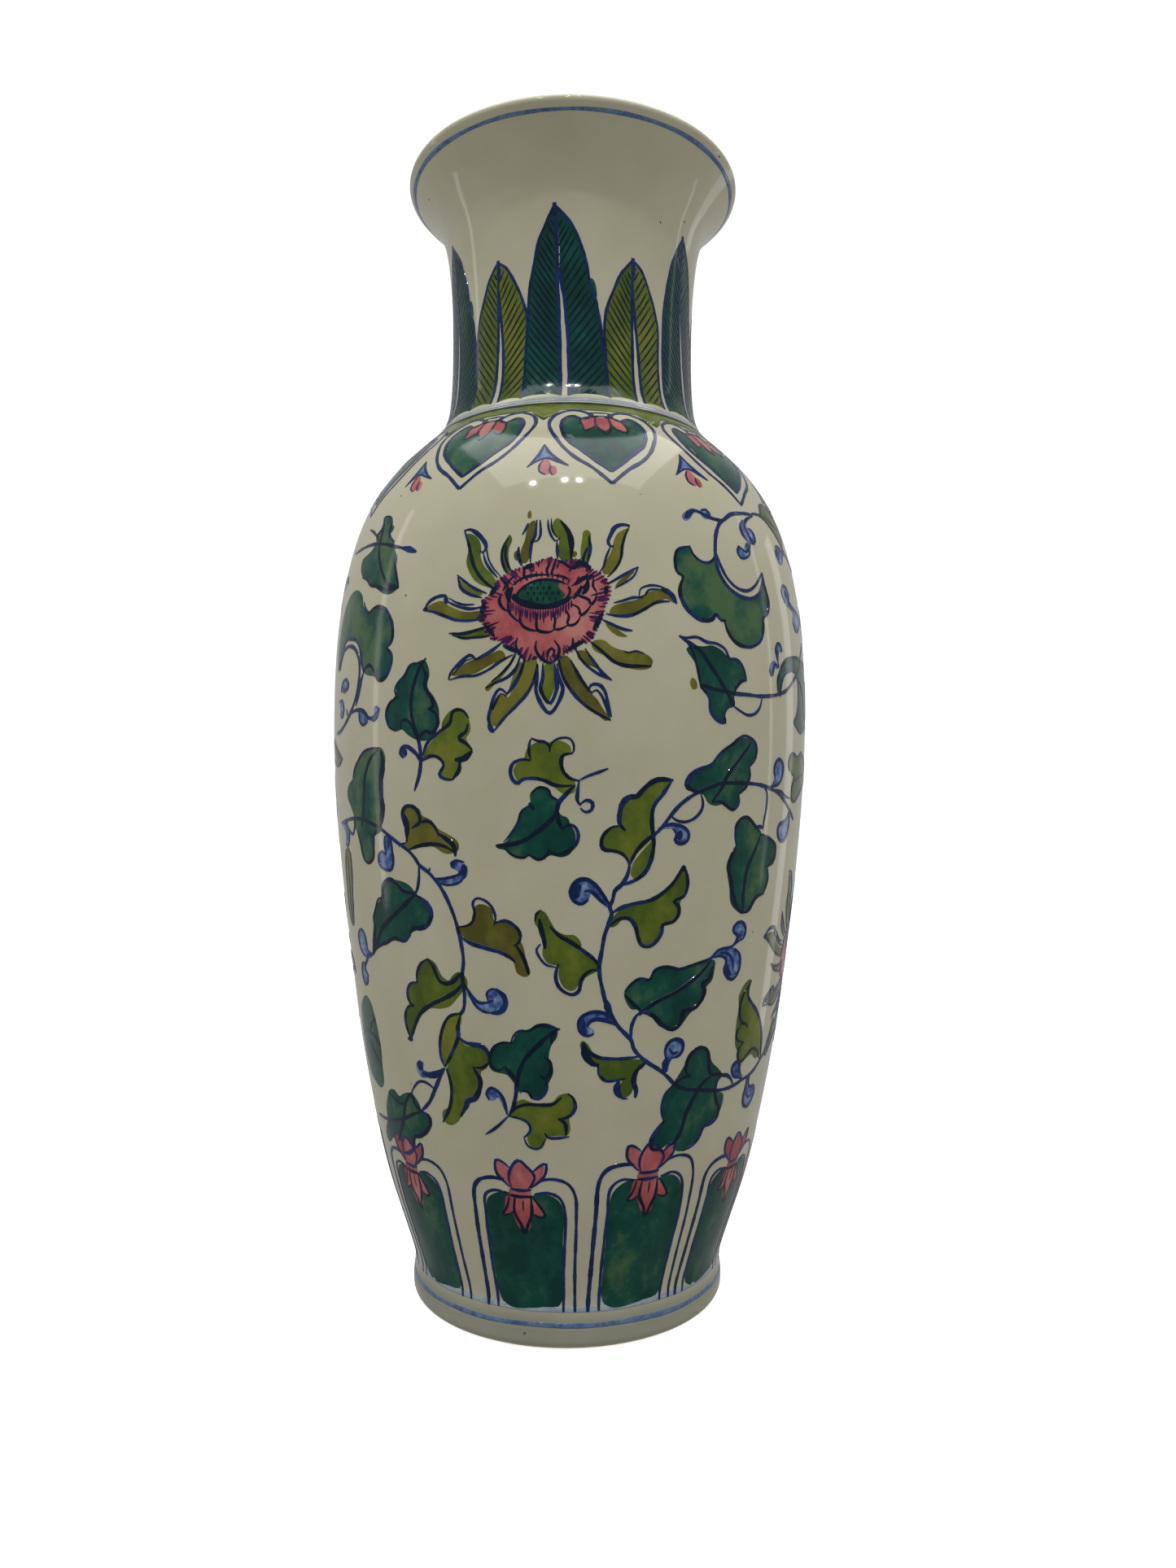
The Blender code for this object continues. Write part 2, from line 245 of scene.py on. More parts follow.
PETAL_LINES = (
    (1.1, ((-23.8, 230), (-22.3, 230.2), (-20.7, 229), (-19.3, 227.3), (-18.4, 225.7),
           (-18.2, 224.2), (-18.9, 223.3), (-19.5, 223.8))),
    (0.7, ((-18.7, 223.2), (-18.2, 221), (-17, 218.5), (-15.2, 216))),
    (0.5, ((-18.1, 224.8), (-17.5, 221.5), (-16.2, 218.6), (-14.6, 216.4))),
    (0.9, ((-23.6, 229.8), (-22.3, 226), (-21.4, 222.3), (-20.5, 219.3), (-18.9, 216.3),
           (-17, 214), (-15.5, 212.7))),
    (0.8, ((-13.4, 227), (-14.2, 225), (-14.6, 222.7), (-14.3, 220), (-13.2, 217))),
    (0.7, ((-13.7, 225), (-13.8, 222), (-13, 219), (-12.1, 217.3))),
    (0.7, ((-9.2, 231), (-9.8, 229), (-10.4, 227.7))),
    (0.9, ((-11, 224.3), (-11, 222), (-10.2, 219))),
    (0.8, ((-7.4, 231.8), (-7.5, 229), (-7.7, 227), (-8.3, 225.3), (-8.5, 222), (-8.4, 219.8))),
    (0.7, ((-6.7, 231.8), (-6.5, 229), (-6.6, 227), (-7.4, 225.6), (-8.3, 226.2))),
    (1.3, ((-2.3, 231.5), (-1.4, 230), (-0.5, 228), (0, 225.3), (0, 220.7))),
    (0.6, ((-5, 231.9), (-4.8, 229.3), (-4.1, 227), (-3.2, 225.7), (-2.3, 226.7))),
    (0.5, ((-4.3, 232.2), (-4.2, 229.8), (-3.7, 228), (-3, 226.8))),
    (0.7, ((-3, 225.7), (-2.8, 220.7))),
    (0.9, ((3.7, 227.3), (3.9, 224), (3.5, 220.7), (3.3, 219.4))),
    (0.8, ((3.3, 224), (2.4, 220.7), (2.1, 219.2))),
    (1.1, ((12.6, 230.7), (10.9, 230.9), (9.3, 230), (8.4, 228), (7.7, 225.7), (8.3, 224.5),
           (8.9, 224.6))),
    (0.7, ((12.4, 230.4), (11.4, 227.7), (10.7, 224.7), (10.3, 221.3), (8.9, 218), (7.4, 216))),
    (0.6, ((8.2, 224.5), (7.2, 221.5), (6.6, 218.7), (5.6, 217))),
    (0.8, ((14, 219.2), (12.3, 218), (10.7, 216.7), (8.6, 215), (7.3, 214))),
    (0.6, ((13.9, 219), (13, 216.7), (11.1, 214.7), (8.9, 213))),
    (0.6, ((13.9, 211.1), (14.3, 213.2), (16.4, 214.3), (18.6, 214.2), (20.3, 213.4))),
    (1.5, ((18.8, 213.3), (20, 213.1), (21.4, 211.6), (22.1, 209.8))),
    (0.6, ((14, 211), (15.2, 211.5), (16, 213), (18.8, 213.4))),
    (0.7, ((14.8, 210.8), (12.7, 210.7), (10.5, 209.7), (8.6, 209))),
    (0.8, ((20.6, 210.3), (17.7, 209.8), (15, 207.7), (12.3, 205.9), (9.5, 205.5), (7, 206))),
    (0.9, ((12.4, 201.7), (10.5, 202), (8.6, 203), (6.4, 204.3))),
    (0.9, ((16.3, 192.4), (13.7, 192.3), (10.9, 192.3), (8.6, 193.3), (6.4, 195.7), (4, 198.3))),
    (0.5, ((10.5, 196.3), (11.4, 195.7), (13, 196.3), (14.8, 195.7))),
    (0.7, ((0.7, 197), (2.3, 193.3), (4.5, 190.7), (6.8, 189), (8.2, 188.3))),
    (0.8, ((2.8, 196.6), (4.5, 193.3), (6.1, 190.5), (8.1, 188.4))),
    (0.8, ((-2.4, 194), (-1.6, 189.3), (0.2, 185.3), (2.5, 182), (5, 179.7), (8, 177.7))),
    (0.8, ((0, 193.5), (1.8, 189), (3.4, 186), (4.3, 184.8))),
    (0.9, ((3.4, 185.3), (4.1, 187), (5.7, 187), (6.8, 185.3), (7.3, 182.7), (8.1, 178.6))),
    (0.7, ((4.1, 184.7), (5, 185.7), (6.1, 184.3), (6.8, 182), (7.7, 178.6))),
    (0.9, ((-5.5, 192.6), (-5.5, 188.7), (-5.9, 185.7), (-4.1, 182), (-2.7, 186), (-2.9, 188.7),
           (-3.2, 192.6))),
    (0.9, ((-6.6, 192.5), (-6.6, 188.7), (-6.8, 185), (-4.1, 179.4), (-1.5, 185.7), (-2.3, 188.7),
           (-2.7, 192.6))),
    (0.8, ((-6.6, 192.5), (-7.3, 188), (-8.6, 184.7), (-10.9, 181.3), (-13.2, 178.3), (-15.2, 175))),
    (1.0, ((-9.1, 194), (-10, 190), (-11.4, 186.7), (-12.8, 184.4))),
    (0.9, ((-12.6, 184.6), (-14.1, 186), (-15.2, 184.4), (-15.9, 181.3), (-16.5, 178),
           (-15.5, 174.8))),
    (0.6, ((-12.7, 184), (-13.9, 184.7), (-14.8, 183), (-15.5, 180.5))),
    (1.6, ((-16.4, 176.9), (-15.9, 175.2), (-15.3, 174.6))),
    (0.8, ((-10, 194.9), (-10.9, 191.3), (-12.7, 189), (-15, 187.7), (-17.1, 186.3))),
    (0.7, ((-10.9, 195.9), (-12, 192.7), (-13.9, 190), (-15.9, 188))),
    (0.9, ((-13.6, 198.6), (-15.9, 196.3), (-18.2, 194.7), (-19.5, 193.9))),
    (0.9, ((-19.2, 193.9), (-20.5, 195.3), (-21.6, 194.7), (-23.2, 193), (-25, 190.6),
           (-25.4, 188.9))),
    (0.5, ((-20, 194.4), (-21.6, 193.8), (-23, 192.2), (-24.4, 190.2))),
    (0.7, ((-11.6, 195), (-14.1, 193.3), (-16.8, 191), (-19.5, 189.7), (-22.3, 189.7),
           (-25.2, 188.8))),
    (0.8, ((-25.6, 201.5), (-22.3, 201.2), (-19.5, 201.9), (-15.6, 203.2))),
    (0.7, ((-24.8, 201), (-22.3, 200), (-19.5, 200), (-16.4, 200.2))),
    (1.0, ((-32.2, 208.6), (-30.8, 210.9), (-28.6, 212), (-26.9, 211.9), (-26.2, 210.4))),
    (1.5, ((-27, 211.6), (-26.4, 209.8))),
    (0.8, ((-26.4, 210.4), (-24.6, 209.2), (-22.7, 208.3), (-20.5, 207.8), (-18.2, 208.2))),
    (0.6, ((-26, 211.3), (-24.4, 210), (-22.4, 209.1), (-20, 209))),
    (0.8, ((-32.4, 208.6), (-29.6, 207.8), (-26.6, 206.3), (-24.4, 205.2), (-22.3, 204.7),
           (-18.8, 204.7))),
    (1.2, ((-32.4, 208.7), (-31.2, 208.9))),
    (0.8, ((-24.4, 217.5), (-22.3, 215.3), (-20, 213.3), (-17.4, 211.8))),
    (0.9, ((-24.2, 216.9), (-23.2, 213.7), (-20.9, 211.7), (-18.4, 210.7))),
)  # fmt: skip

# The blossom's rosy heart, its seed pod, the shadow under the pod, the petal that laps over the
# pod, and the scalloped rows of small petals in the heart.
HEART = (
    (-19.2, 204.9), (-18, 207.3), (-18.2, 210), (-16.4, 211.7), (-15.9, 213.7), (-14.8, 215.7),
    (-12.7, 217.3), (-10, 218.7), (-6.8, 220), (-4.3, 221.1), (-1.8, 220), (0.5, 220.7),
    (2.7, 220.3), (4.3, 218), (5.9, 217), (7.3, 215), (8, 212.7), (7.5, 210), (6.8, 208),
    (6.4, 205.3), (5.5, 202.7), (4.8, 200.7), (3.6, 198.3), (1.8, 197.7), (0.5, 196),
    (-1.8, 194.7), (-3.6, 193), (-5.5, 193), (-6.8, 194), (-9.1, 193.3), (-10.5, 195.3),
    (-12.7, 196.7), (-14.1, 198.7), (-15.9, 199.3), (-17.5, 202), (-18.1, 203.9),
)  # fmt: skip
SEED_POD = (
    (-11.1, 210.6), (-9.6, 213.2), (-6.8, 214.9), (-4.1, 215), (-1.4, 214), (-0.2, 212.2),
    (-0.9, 210), (-3.2, 208.6), (-5.5, 208.1), (-8.2, 208.9), (-10.5, 209.8),
)  # fmt: skip
POD_SHADOW = (
    (-11.6, 211.6), (-10.3, 209.9), (-8.4, 208.9), (-5.5, 208.3), (-3, 208.7), (-1.1, 210),
    (-0.6, 212.4), (0.6, 211.6), (-0.2, 209.4), (-2.4, 207.6), (-5.6, 206.9), (-8.6, 207.3),
    (-10.8, 208.6), (-12.1, 210.2),
)  # fmt: skip
PETAL_OVER_POD = (
    (-2.6, 213.2), (-1.6, 214.9), (0.6, 215.8), (2.4, 215.2), (2.6, 213), (1.2, 211.2),
    (-0.7, 210.4), (-1.6, 211.8),
)  # fmt: skip
HEART_LINES = (
    (1.5, ((-12.5, 209), (-12.7, 211.4), (-11.9, 213.2))),
    (0.8, ((-13.9, 212.2), (-13, 214.6), (-11.6, 216.2))),
    (1.3, ((0.4, 209.8), (1.5, 211.6), (2.2, 213.4))),
    (1.3, ((0.8, 213.6), (2.4, 215.4), (4.6, 216.2))),
    (0.8, ((-12, 213.6), (-10, 215.5), (-7.4, 216.3), (-4.4, 216.4))),
    (0.7, ((-3.6, 216.3), (-1.4, 215.7), (-0.2, 214.8))),
    (1.4, ((-16.6, 211.2), (-15.2, 213.8))),
    (1.5, ((-18.3, 206.2), (-17.8, 209.2))),
    (1.2, ((-17.6, 203.4), (-16.2, 201.2), (-15.4, 200))),
    (1.3, ((6.4, 206.4), (5.3, 203.6), (4.5, 201.4))),
    (1.4, ((-13.6, 197.6), (-11.6, 196.4), (-10.2, 195.6))),
    (1.3, ((2.6, 198.6), (0.6, 197.2), (-0.6, 196))),
    (1.4, ((4, 218), (2.4, 219.6), (0.8, 219.8))),
    (1.3, ((-9.6, 218.4), (-7.6, 219.2))),
    (1.2, ((7.2, 213.6), (7, 211.2))),
    (0.9, ((-14.3, 211.6), (-14.6, 209.4), (-13.8, 207.5), (-12.6, 206.6))),
    (0.8, ((-12.7, 211.2), (-12.6, 206.8), (-11.6, 205), (-10.1, 203.5))),
    (0.8, ((-10.2, 206.9), (-10.1, 203.6), (-9.3, 202.3), (-7.7, 201.4), (-6.5, 201.3))),
    (0.8, ((-6.7, 206), (-6.9, 203.7), (-6.6, 201.4), (-5.3, 200.9), (-4.1, 200.9), (-3.3, 201.6))),
    (0.8, ((-3.4, 206.2), (-3.1, 204), (-3.3, 201.7), (-1.8, 201.8), (-0.7, 202.7))),
    (0.8, ((-1, 206.8), (-0.4, 205.2), (-0.7, 202.9), (0.5, 202.8), (1.5, 204), (1.9, 205.3))),
    (0.8, ((0.1, 208.4), (1.6, 207.3), (1.9, 205.4), (3.2, 206.6), (4, 208.2))),
    (0.8, ((0.6, 211.3), (2.2, 210.4), (3.6, 209.6), (4, 208.3), (5, 210), (5.1, 211.6))),
    (0.8, ((1.3, 212.3), (2.6, 213), (3.4, 214.6), (3, 216.2))),
    (0.7, ((0.1, 213.2), (1.1, 214.3), (1.6, 216))),
    (1.3, ((2.2, 211.1), (3.1, 212.4), (3.6, 214.2))),
    (0.8, ((5.2, 211.8), (4.4, 213.4), (4.6, 215.4))),
    (0.8, ((-6.8, 198.7), (-7, 196.6), (-6, 194.2), (-4.1, 192.7), (-2.7, 194), (-2.3, 196.7),
           (-3.3, 198.7))),
    (0.7, ((-4.5, 194.2), (-4.4, 195.9), (-3.6, 196.6), (-3.2, 195.6), (-3.8, 194.3))),
    (0.7, ((-10.6, 199.6), (-11, 197.6), (-10, 195), (-8.8, 193.2))),
    (0.7, ((-1.2, 195.6), (0.3, 196.9), (0.4, 199.4))),
    (0.8, ((-14.6, 215.8), (-12.9, 213.2), (-13.6, 211.3))),
    (0.8, ((-9.4, 218.9), (-9.7, 216.4), (-8.8, 214.9))),
    (0.7, ((-3.1, 220.8), (-3.6, 218.4), (-4.2, 216.2))),
    (0.7, ((-4.3, 219.5), (-5, 217.6), (-4.4, 215.7))),
    (1.0, ((2.3, 220.2), (0.4, 218.2), (-1.5, 219.6), (-2.9, 220.4))),
)  # fmt: skip

# The scroll on the body's front: its fields, then its lines.
SCROLL_FIELDS = (
    # Leaves under the upper blossom.
    (MOSS, ((-11.4, 164.3), (-10.2, 167), (-9.3, 167.3), (-8.6, 170), (-6.8, 171.7), (-4.3, 171.7),
            (-3.2, 172.3), (-1.4, 172), (0, 170.7), (0.1, 168.7), (-1.4, 168), (-1.8, 166.3),
            (-1.1, 164), (0.9, 161.7), (0.9, 158.7), (-1.4, 158.3), (-3.2, 160), (-5.9, 162),
            (-8.6, 162.5), (-10.5, 161.7), (-11.1, 163))),
    (DARK, ((-15.2, 144.7), (-13.2, 145.3), (-11.8, 148), (-10.5, 150), (-10.2, 153.3),
            (-8, 155.3), (-8, 158.3), (-6.4, 160), (-4.5, 159.7), (-3.9, 158), (-2.3, 156.5),
            (-2.3, 154), (-1.8, 152.7), (-0.5, 152), (0.2, 150), (1.1, 148), (1.1, 145.3),
            (0, 142.3), (-1.8, 141.5), (-3.9, 142), (-5, 141.3), (-6.4, 140.8), (-8.2, 141.7),
            (-10, 141), (-11.8, 141.7), (-13.4, 143.3), (-15, 143.7))),
    (MOSS, ((21, 162.3), (17.7, 162.1), (16.1, 161), (15, 159.7), (13.6, 158), (11.8, 157.2),
            (10.7, 155), (10.5, 152), (10.2, 150), (8.2, 149.3), (6.8, 147.3), (6.1, 145.3),
            (6.6, 143.3), (8.6, 143.2), (10.9, 142), (12.3, 140.3), (14, 142.7), (16, 145),
            (17.3, 147.3), (17.2, 151), (17, 154), (18.2, 158))),
    (MOSS, ((17.5, 146.3), (17.4, 142.5), (16.1, 138.5), (14.1, 135.6), (12.8, 136.5),
            (13, 139.5), (14.3, 142), (16, 144.5))),
    (WASH, ((8.6, 128.3), (6.8, 131), (5.2, 134), (3.2, 135.6), (1.2, 134.8), (0.2, 132.5),
            (0.7, 130), (2.3, 129), (3.9, 130), (4.5, 132), (5.2, 131.7), (6.4, 130),
            (7.7, 128.3))),
    (OLIVE, ((-24.8, 121.7), (-22.7, 122.7), (-21.6, 123.3), (-20.9, 126), (-20, 128.3),
             (-18.2, 128.5), (-16.6, 127.3), (-16.1, 124.3), (-14.1, 124), (-11.8, 123),
             (-10.5, 121.7), (-10.5, 119.3), (-9.8, 117.3), (-9.3, 114), (-8.4, 110.3),
             (-9.5, 109.2), (-11.4, 110.3), (-12, 113), (-14.1, 115.3), (-18.2, 117),
             (-22.3, 118.3), (-24.1, 119.7))),
    (MOSS, ((-5.9, 127.3), (-7, 126.3), (-7.4, 124.3), (-6.4, 122), (-5.5, 118.7), (-5.7, 115.3),
            (-4.5, 113), (-2.3, 112.3), (-2.3, 110), (-1.4, 107), (0, 105.7), (1.4, 106),
            (2.3, 108), (4.1, 109.7), (6.4, 111.3), (6.6, 112.3), (5, 114.7), (2.7, 116.3),
            (2.5, 118.7), (1.1, 120.7), (-0.9, 120.8), (-2.7, 122), (-4.1, 124.7), (-5, 126.7))),
    (MOSS, ((8.4, 123.7), (9.5, 126), (11.4, 128), (14.1, 129), (16.8, 129.7), (19.1, 131.2),
            (21.8, 134), (23.6, 136.7), (24.5, 139), (25.7, 136), (25.9, 132.7), (24.3, 129.3),
            (24.1, 125.3), (22.3, 123.2), (20.2, 122.3), (19.5, 119.3), (17.7, 117.7),
            (16.4, 117.3), (15, 119), (14.3, 122.3), (13.2, 124.7), (11.4, 125), (10, 123.2),
            (8.6, 122.7))),
    # Around the lower right of the front.
    (WASH, ((10.7, 96.2), (9, 98.7), (7, 99.7), (4.5, 99.7), (2.5, 98), (2, 96), (2.7, 94),
            (4.3, 93), (5.7, 93.7), (5.5, 95), (4.3, 96), (4.8, 97.5), (6.4, 97.7), (8.4, 97.3))),
    (MOSS, ((3, 92), (2.5, 90.7), (3.4, 88.3), (4.1, 86), (6.4, 84.7), (7.3, 82), (8.6, 80.7),
            (11.4, 80.7), (12.7, 81), (12, 78.7), (12.3, 76.3), (13.6, 75.7), (15, 76.7),
            (15.5, 80), (15.9, 82.7), (17.5, 83.7), (18.2, 85.3), (15.9, 86.3), (11.4, 86.3),
            (7.7, 87), (5.5, 88.7), (4.3, 91))),
    (DARK, ((-3.2, 95.3), (-5.5, 96.3), (-7.3, 96.3), (-8.9, 95), (-10.5, 94.5), (-12, 93.3),
            (-13, 91.3), (-15, 91.3), (-17.3, 90), (-18.6, 87.7), (-19.1, 85.7), (-18.2, 83),
            (-15.9, 82.3), (-14.5, 82), (-13, 80), (-11.8, 78), (-10, 77.3), (-7.7, 75.7),
            (-5.9, 76.7), (-5, 79.3), (-3.6, 82.7), (-3.6, 84.7), (-4.5, 87), (-4.3, 89.3),
            (-3.6, 91.3), (-2.7, 92.7), (-2.5, 94.7))),
    (MOSS, ((-14.3, 71), (-13, 74), (-10.9, 75.3), (-9.1, 74.7), (-5.9, 74), (-3.6, 75),
            (-2.3, 76.7), (0, 77.3), (1.4, 75.7), (1.4, 72.7), (0.2, 70.3), (0.5, 67.3),
            (-0.2, 65.3), (-2.3, 65.3), (-5, 64.7), (-6.4, 62.3), (-8.2, 61.3), (-9.8, 62.7),
            (-10, 65.3), (-8.9, 66.7), (-9.3, 68.7), (-11.4, 70), (-13.2, 69.7))),
    (WASH, ((-15.3, 71.5), (-15.7, 74.5), (-16.8, 77.2), (-18.6, 77.9), (-19.9, 76.3),
            (-19.4, 74.5), (-17.8, 74.4), (-17.1, 75.6), (-16.4, 74.4))),
    (WASH, ((-23.9, 104.7), (-22.3, 102.7), (-20.5, 101.7), (-18.6, 101.7), (-18.4, 104),
            (-17.3, 105.5), (-15.7, 105.3), (-14.3, 103.3), (-14.3, 101.3), (-15.5, 99.3),
            (-17.7, 98.8), (-20, 99.3), (-21.8, 101.3))),
    (DARK, ((12.2, 104.7), (13.2, 107), (15, 108.5), (17.7, 108.2), (18.4, 110), (20, 111.3),
            (22.3, 111.7), (25.2, 110.9), (27.7, 111.7), (30.5, 112), (33.2, 112.7), (35, 112),
            (35, 110.5), (34.5, 106.7), (32.7, 104.5), (32.5, 101.3), (30, 99), (28.5, 97.5),
            (27, 95.3), (24.8, 93.5), (21.8, 94.7), (19.5, 97.7), (17.7, 99.3), (16, 100.2),
            (14.1, 100.2), (12.7, 102.3))),
    (WASH, ((23.3, 81.7), (22.9, 83.5), (23, 85.5), (22.8, 88), (23.7, 90.3), (25.5, 91),
            (27.3, 90), (27.7, 88), (26.6, 86), (25, 85.6), (24.3, 84), (24, 82))),
    (DARK, ((32.3, 87.7), (34.5, 87.3), (35.9, 85.3), (37.3, 82.7), (39.5, 80.7), (41.4, 78.3),
            (39.8, 77.3), (39.1, 75.3), (40.5, 73.6), (42.7, 72.7), (43.2, 70), (41.8, 66),
            (39.5, 64.7), (36.8, 63.7), (35.5, 60), (33.2, 58.7), (30.5, 57.9), (28.2, 58.7),
            (26.4, 60.7), (23.6, 59.3), (20.7, 60.3), (20.9, 62), (22.3, 64.7), (23.9, 67.3),
            (23.4, 70.7), (23.4, 74), (25, 77.3), (26.8, 80), (28.6, 83.3), (30, 86.3))),
    (WASH, ((50.5, 75.5), (48.5, 76.3), (46.8, 76.7), (45.2, 78), (45, 80), (46.5, 81),
            (48.2, 80.7), (48.3, 78.7), (49.2, 77), (50.8, 76.3))),
    (WASH, ((53.2, 75.3), (53.1, 72), (52.8, 69), (54, 66.5), (56.5, 65.5), (58.8, 67),
            (59.5, 69.5), (58.2, 71.3), (56, 71.5), (54.8, 72.5), (54.5, 75.3))),
    (MOSS, ((48.9, 105), (47.5, 105), (45.5, 103.3), (44.3, 100.7), (44.8, 97.3), (44.5, 93.3),
            (45, 86.7), (46.4, 84), (46.8, 82), (48.9, 80.3), (50.9, 81.3), (53.6, 82),
            (55.9, 80.3), (58.2, 80.3), (59.8, 81.3), (59.1, 85.3), (57.3, 89.3), (55, 93),
            (52.3, 96), (49.5, 98.7), (48.4, 101.3))),
    (WASH, ((40, 115.7), (41.2, 117.3), (41.5, 118.8), (40, 119.5), (39.9, 121.3), (41.5, 122.5),
            (43.3, 121.8), (44.2, 120), (43.8, 117.8), (42.2, 116.7), (40.8, 115.8))),
    (WASH, ((34.2, 113), (36, 115), (39, 115.5), (41, 115), (42.7, 113.3), (43.4, 110.5),
            (43, 108), (41.3, 106.2), (39.5, 106.8), (38, 109), (38.5, 110.7), (38.2, 112.3),
            (36.3, 113.3))),
    # Right of the upper blossom.
    (DARK, ((22.5, 224.3), (24.5, 225.7), (26.4, 226.3), (27.5, 224), (29.1, 222.3),
            (30.9, 222.5), (32.5, 224), (33.2, 221.3), (34.3, 218), (36.6, 215.3), (40, 214),
            (43.2, 214.3), (45.9, 215.7), (48.2, 220), (48.9, 219.3), (49.8, 215.3),
            (49.1, 212), (47, 209.3), (46.8, 206.7), (45.9, 203.7), (43.2, 201), (40, 200),
            (36.8, 201), (34.5, 204), (33.9, 206), (31.8, 207.7), (30.5, 206.3), (28.2, 205.9),
            (25.2, 208), (23.4, 211.3), (23, 214), (23.6, 217.3), (22.5, 219.3), (22.3, 222.7))),
    (WASH, ((44.5, 238), (43, 235.5), (43.3, 233), (45, 231.3), (47, 231), (48, 233),
            (47.5, 235), (46, 236))),
    (WASH, ((45.5, 232), (44.5, 229), (43, 226.5), (41, 225.8), (40, 227.5), (40.8, 229.5),
            (42.5, 228.8), (44, 231))),
    (WASH, ((31, 238.4), (33, 238), (33.6, 236.2), (32, 235.3), (30.5, 236.5))),
    (WASH, ((29.6, 237.6), (28, 237.8), (26.3, 236.6), (25.2, 235), (25.9, 233.8), (27.3, 234.6),
            (28.4, 236.3))),
    (DARK, ((24.1, 197.7), (25.7, 198.7), (28.2, 198.7), (30.5, 199.2), (33.2, 198), (35, 196),
            (37.3, 195.7), (39.1, 194), (39.9, 190.7), (38.2, 189.7), (36.8, 188), (36.4, 186),
            (36.1, 183.3), (34.5, 182.7), (33.4, 180.7), (33.9, 178.3), (31.8, 179),
            (30.2, 180.7), (29.8, 184.7), (27.3, 187.7), (27, 190.7), (26.1, 194))),
    (OLIVE, ((25.4, 190), (26.5, 188.9), (26.6, 187.2), (25.6, 186.7), (24.9, 188.4))),
    (WASH, ((52, 198), (51.3, 200.5), (52, 202.5), (53.6, 202.7), (54.5, 201), (53.8, 200.2),
            (52.9, 200.7), (52.7, 197.8))),
    (WASH, ((52.3, 196), (50.5, 197.5), (48.8, 196.3), (48.3, 194.5), (49.3, 192.9),
            (50.3, 193.7), (50.5, 195), (52, 195.3))),
    (WASH, ((18.5, 149.3), (21, 150.2), (23.5, 149.8), (25.3, 148.3), (25.4, 146.3), (23.8, 145),
            (22.3, 145.7), (22.5, 147.5), (21.8, 149), (20, 149))),
    (DARK, ((24.5, 160.7), (25.2, 162.7), (27.3, 164.7), (30, 166.1), (31.8, 168.3),
            (33.6, 170.7), (36.4, 172.7), (37.7, 174.1), (39.5, 174.3), (41.8, 174),
            (43.6, 171.7), (43.2, 168), (41.4, 166), (41.8, 164), (40.5, 160), (38.4, 158.3),
            (38.6, 156.3), (36.8, 154.1), (34.1, 155.7), (31.8, 155.3), (30, 156), (28.6, 158.3),
            (26.4, 158.7), (25, 159.7))),
    (WASH, ((49.8, 161.2), (51, 163), (51, 165.5), (51.2, 167.7), (52.8, 169), (54.7, 168),
            (55.2, 165.5), (54.3, 163), (52.5, 161.8), (51, 161))),
    (WASH, ((60, 153.5), (59, 151), (56.5, 150.3), (54.7, 149.8), (54.2, 148), (55, 146),
            (57, 145), (59, 145.8), (60.4, 148), (60.6, 151))),
    (DARK, ((38.4, 151), (39.8, 152.1), (41.8, 152), (44.1, 150.3), (46.8, 147.7), (49.5, 146.7),
            (52.3, 145.3), (54.1, 143.3), (54.5, 140.7), (53.2, 138.3), (50.9, 137.3),
            (51.4, 134), (50.9, 131.3), (48.6, 129.7), (46.8, 128), (44.5, 125.3), (42.3, 124.7),
            (40, 126), (38.2, 128), (37.3, 132.7), (36.4, 136.7), (36.8, 140), (37.7, 143.3),
            (38.6, 144.7), (38.1, 147.3))),
    # Left of the upper blossom.
    (DARK, ((-51.3, 239.7), (-48.8, 239), (-47, 236.3), (-45.6, 235), (-46.8, 232.3),
            (-44.7, 230.7), (-43.4, 227.7), (-42.2, 225.3), (-42, 222.7), (-40.9, 219.3),
            (-40.4, 216.3), (-42.5, 214.8), (-44.7, 215), (-47, 216.3), (-49.5, 218),
            (-52, 219.3), (-53.8, 221.3), (-56.5, 222.5), (-58.4, 225.3), (-58.6, 228),
            (-56.1, 229), (-53.8, 230), (-52.5, 232), (-53.4, 234.3), (-51.3, 235.7),
            (-50.7, 237.3))),
    (DARK, ((-70, 204), (-68.6, 209), (-67, 213.3), (-65.2, 216.3), (-62.9, 218.3), (-59.7, 219),
            (-57, 218.3), (-54.7, 216.3), (-53.6, 213.3), (-52.5, 212), (-50.6, 210.7),
            (-49.5, 211.3), (-47.5, 211.9), (-44.7, 211), (-42.5, 208.3), (-41.1, 204.7),
            (-41.1, 201.3), (-42.5, 199.7), (-41.3, 198), (-41.5, 194), (-42.9, 191),
            (-45.2, 190), (-47, 191.7), (-48.8, 192.1), (-51.1, 193.3), (-52.2, 197.3),
            (-53.1, 200.7), (-55.2, 203), (-58.4, 204.3), (-62, 204.3), (-64.7, 202),
            (-66, 198), (-68, 195.6), (-69.4, 198.4))),
    (WASH, ((-64, 189.5), (-63, 192), (-60.5, 192.3), (-59.2, 190.5), (-60.5, 188.5),
            (-62.5, 188.5))),
    (WASH, ((-66.5, 186.5), (-63.5, 186), (-62.2, 183.5), (-63.5, 181), (-65, 181.5),
            (-65, 184))),
    (WASH, ((-53, 182.4), (-52.7, 179.5), (-51, 178.1), (-49.2, 179), (-49, 180.5),
            (-50.5, 182))),
    (WASH, ((-48.8, 179.7), (-47, 179), (-45.2, 179.7), (-44.7, 182), (-45.7, 183.3),
            (-46.8, 182.7), (-46.7, 181), (-48, 180.3))),
    (DARK, ((-31.5, 194.8), (-33.4, 194.3), (-35.6, 193.3), (-37.2, 190.7), (-39, 188.3),
            (-39.5, 185.7), (-41.5, 183.3), (-42.3, 180.7), (-41.3, 177), (-39.3, 175.5),
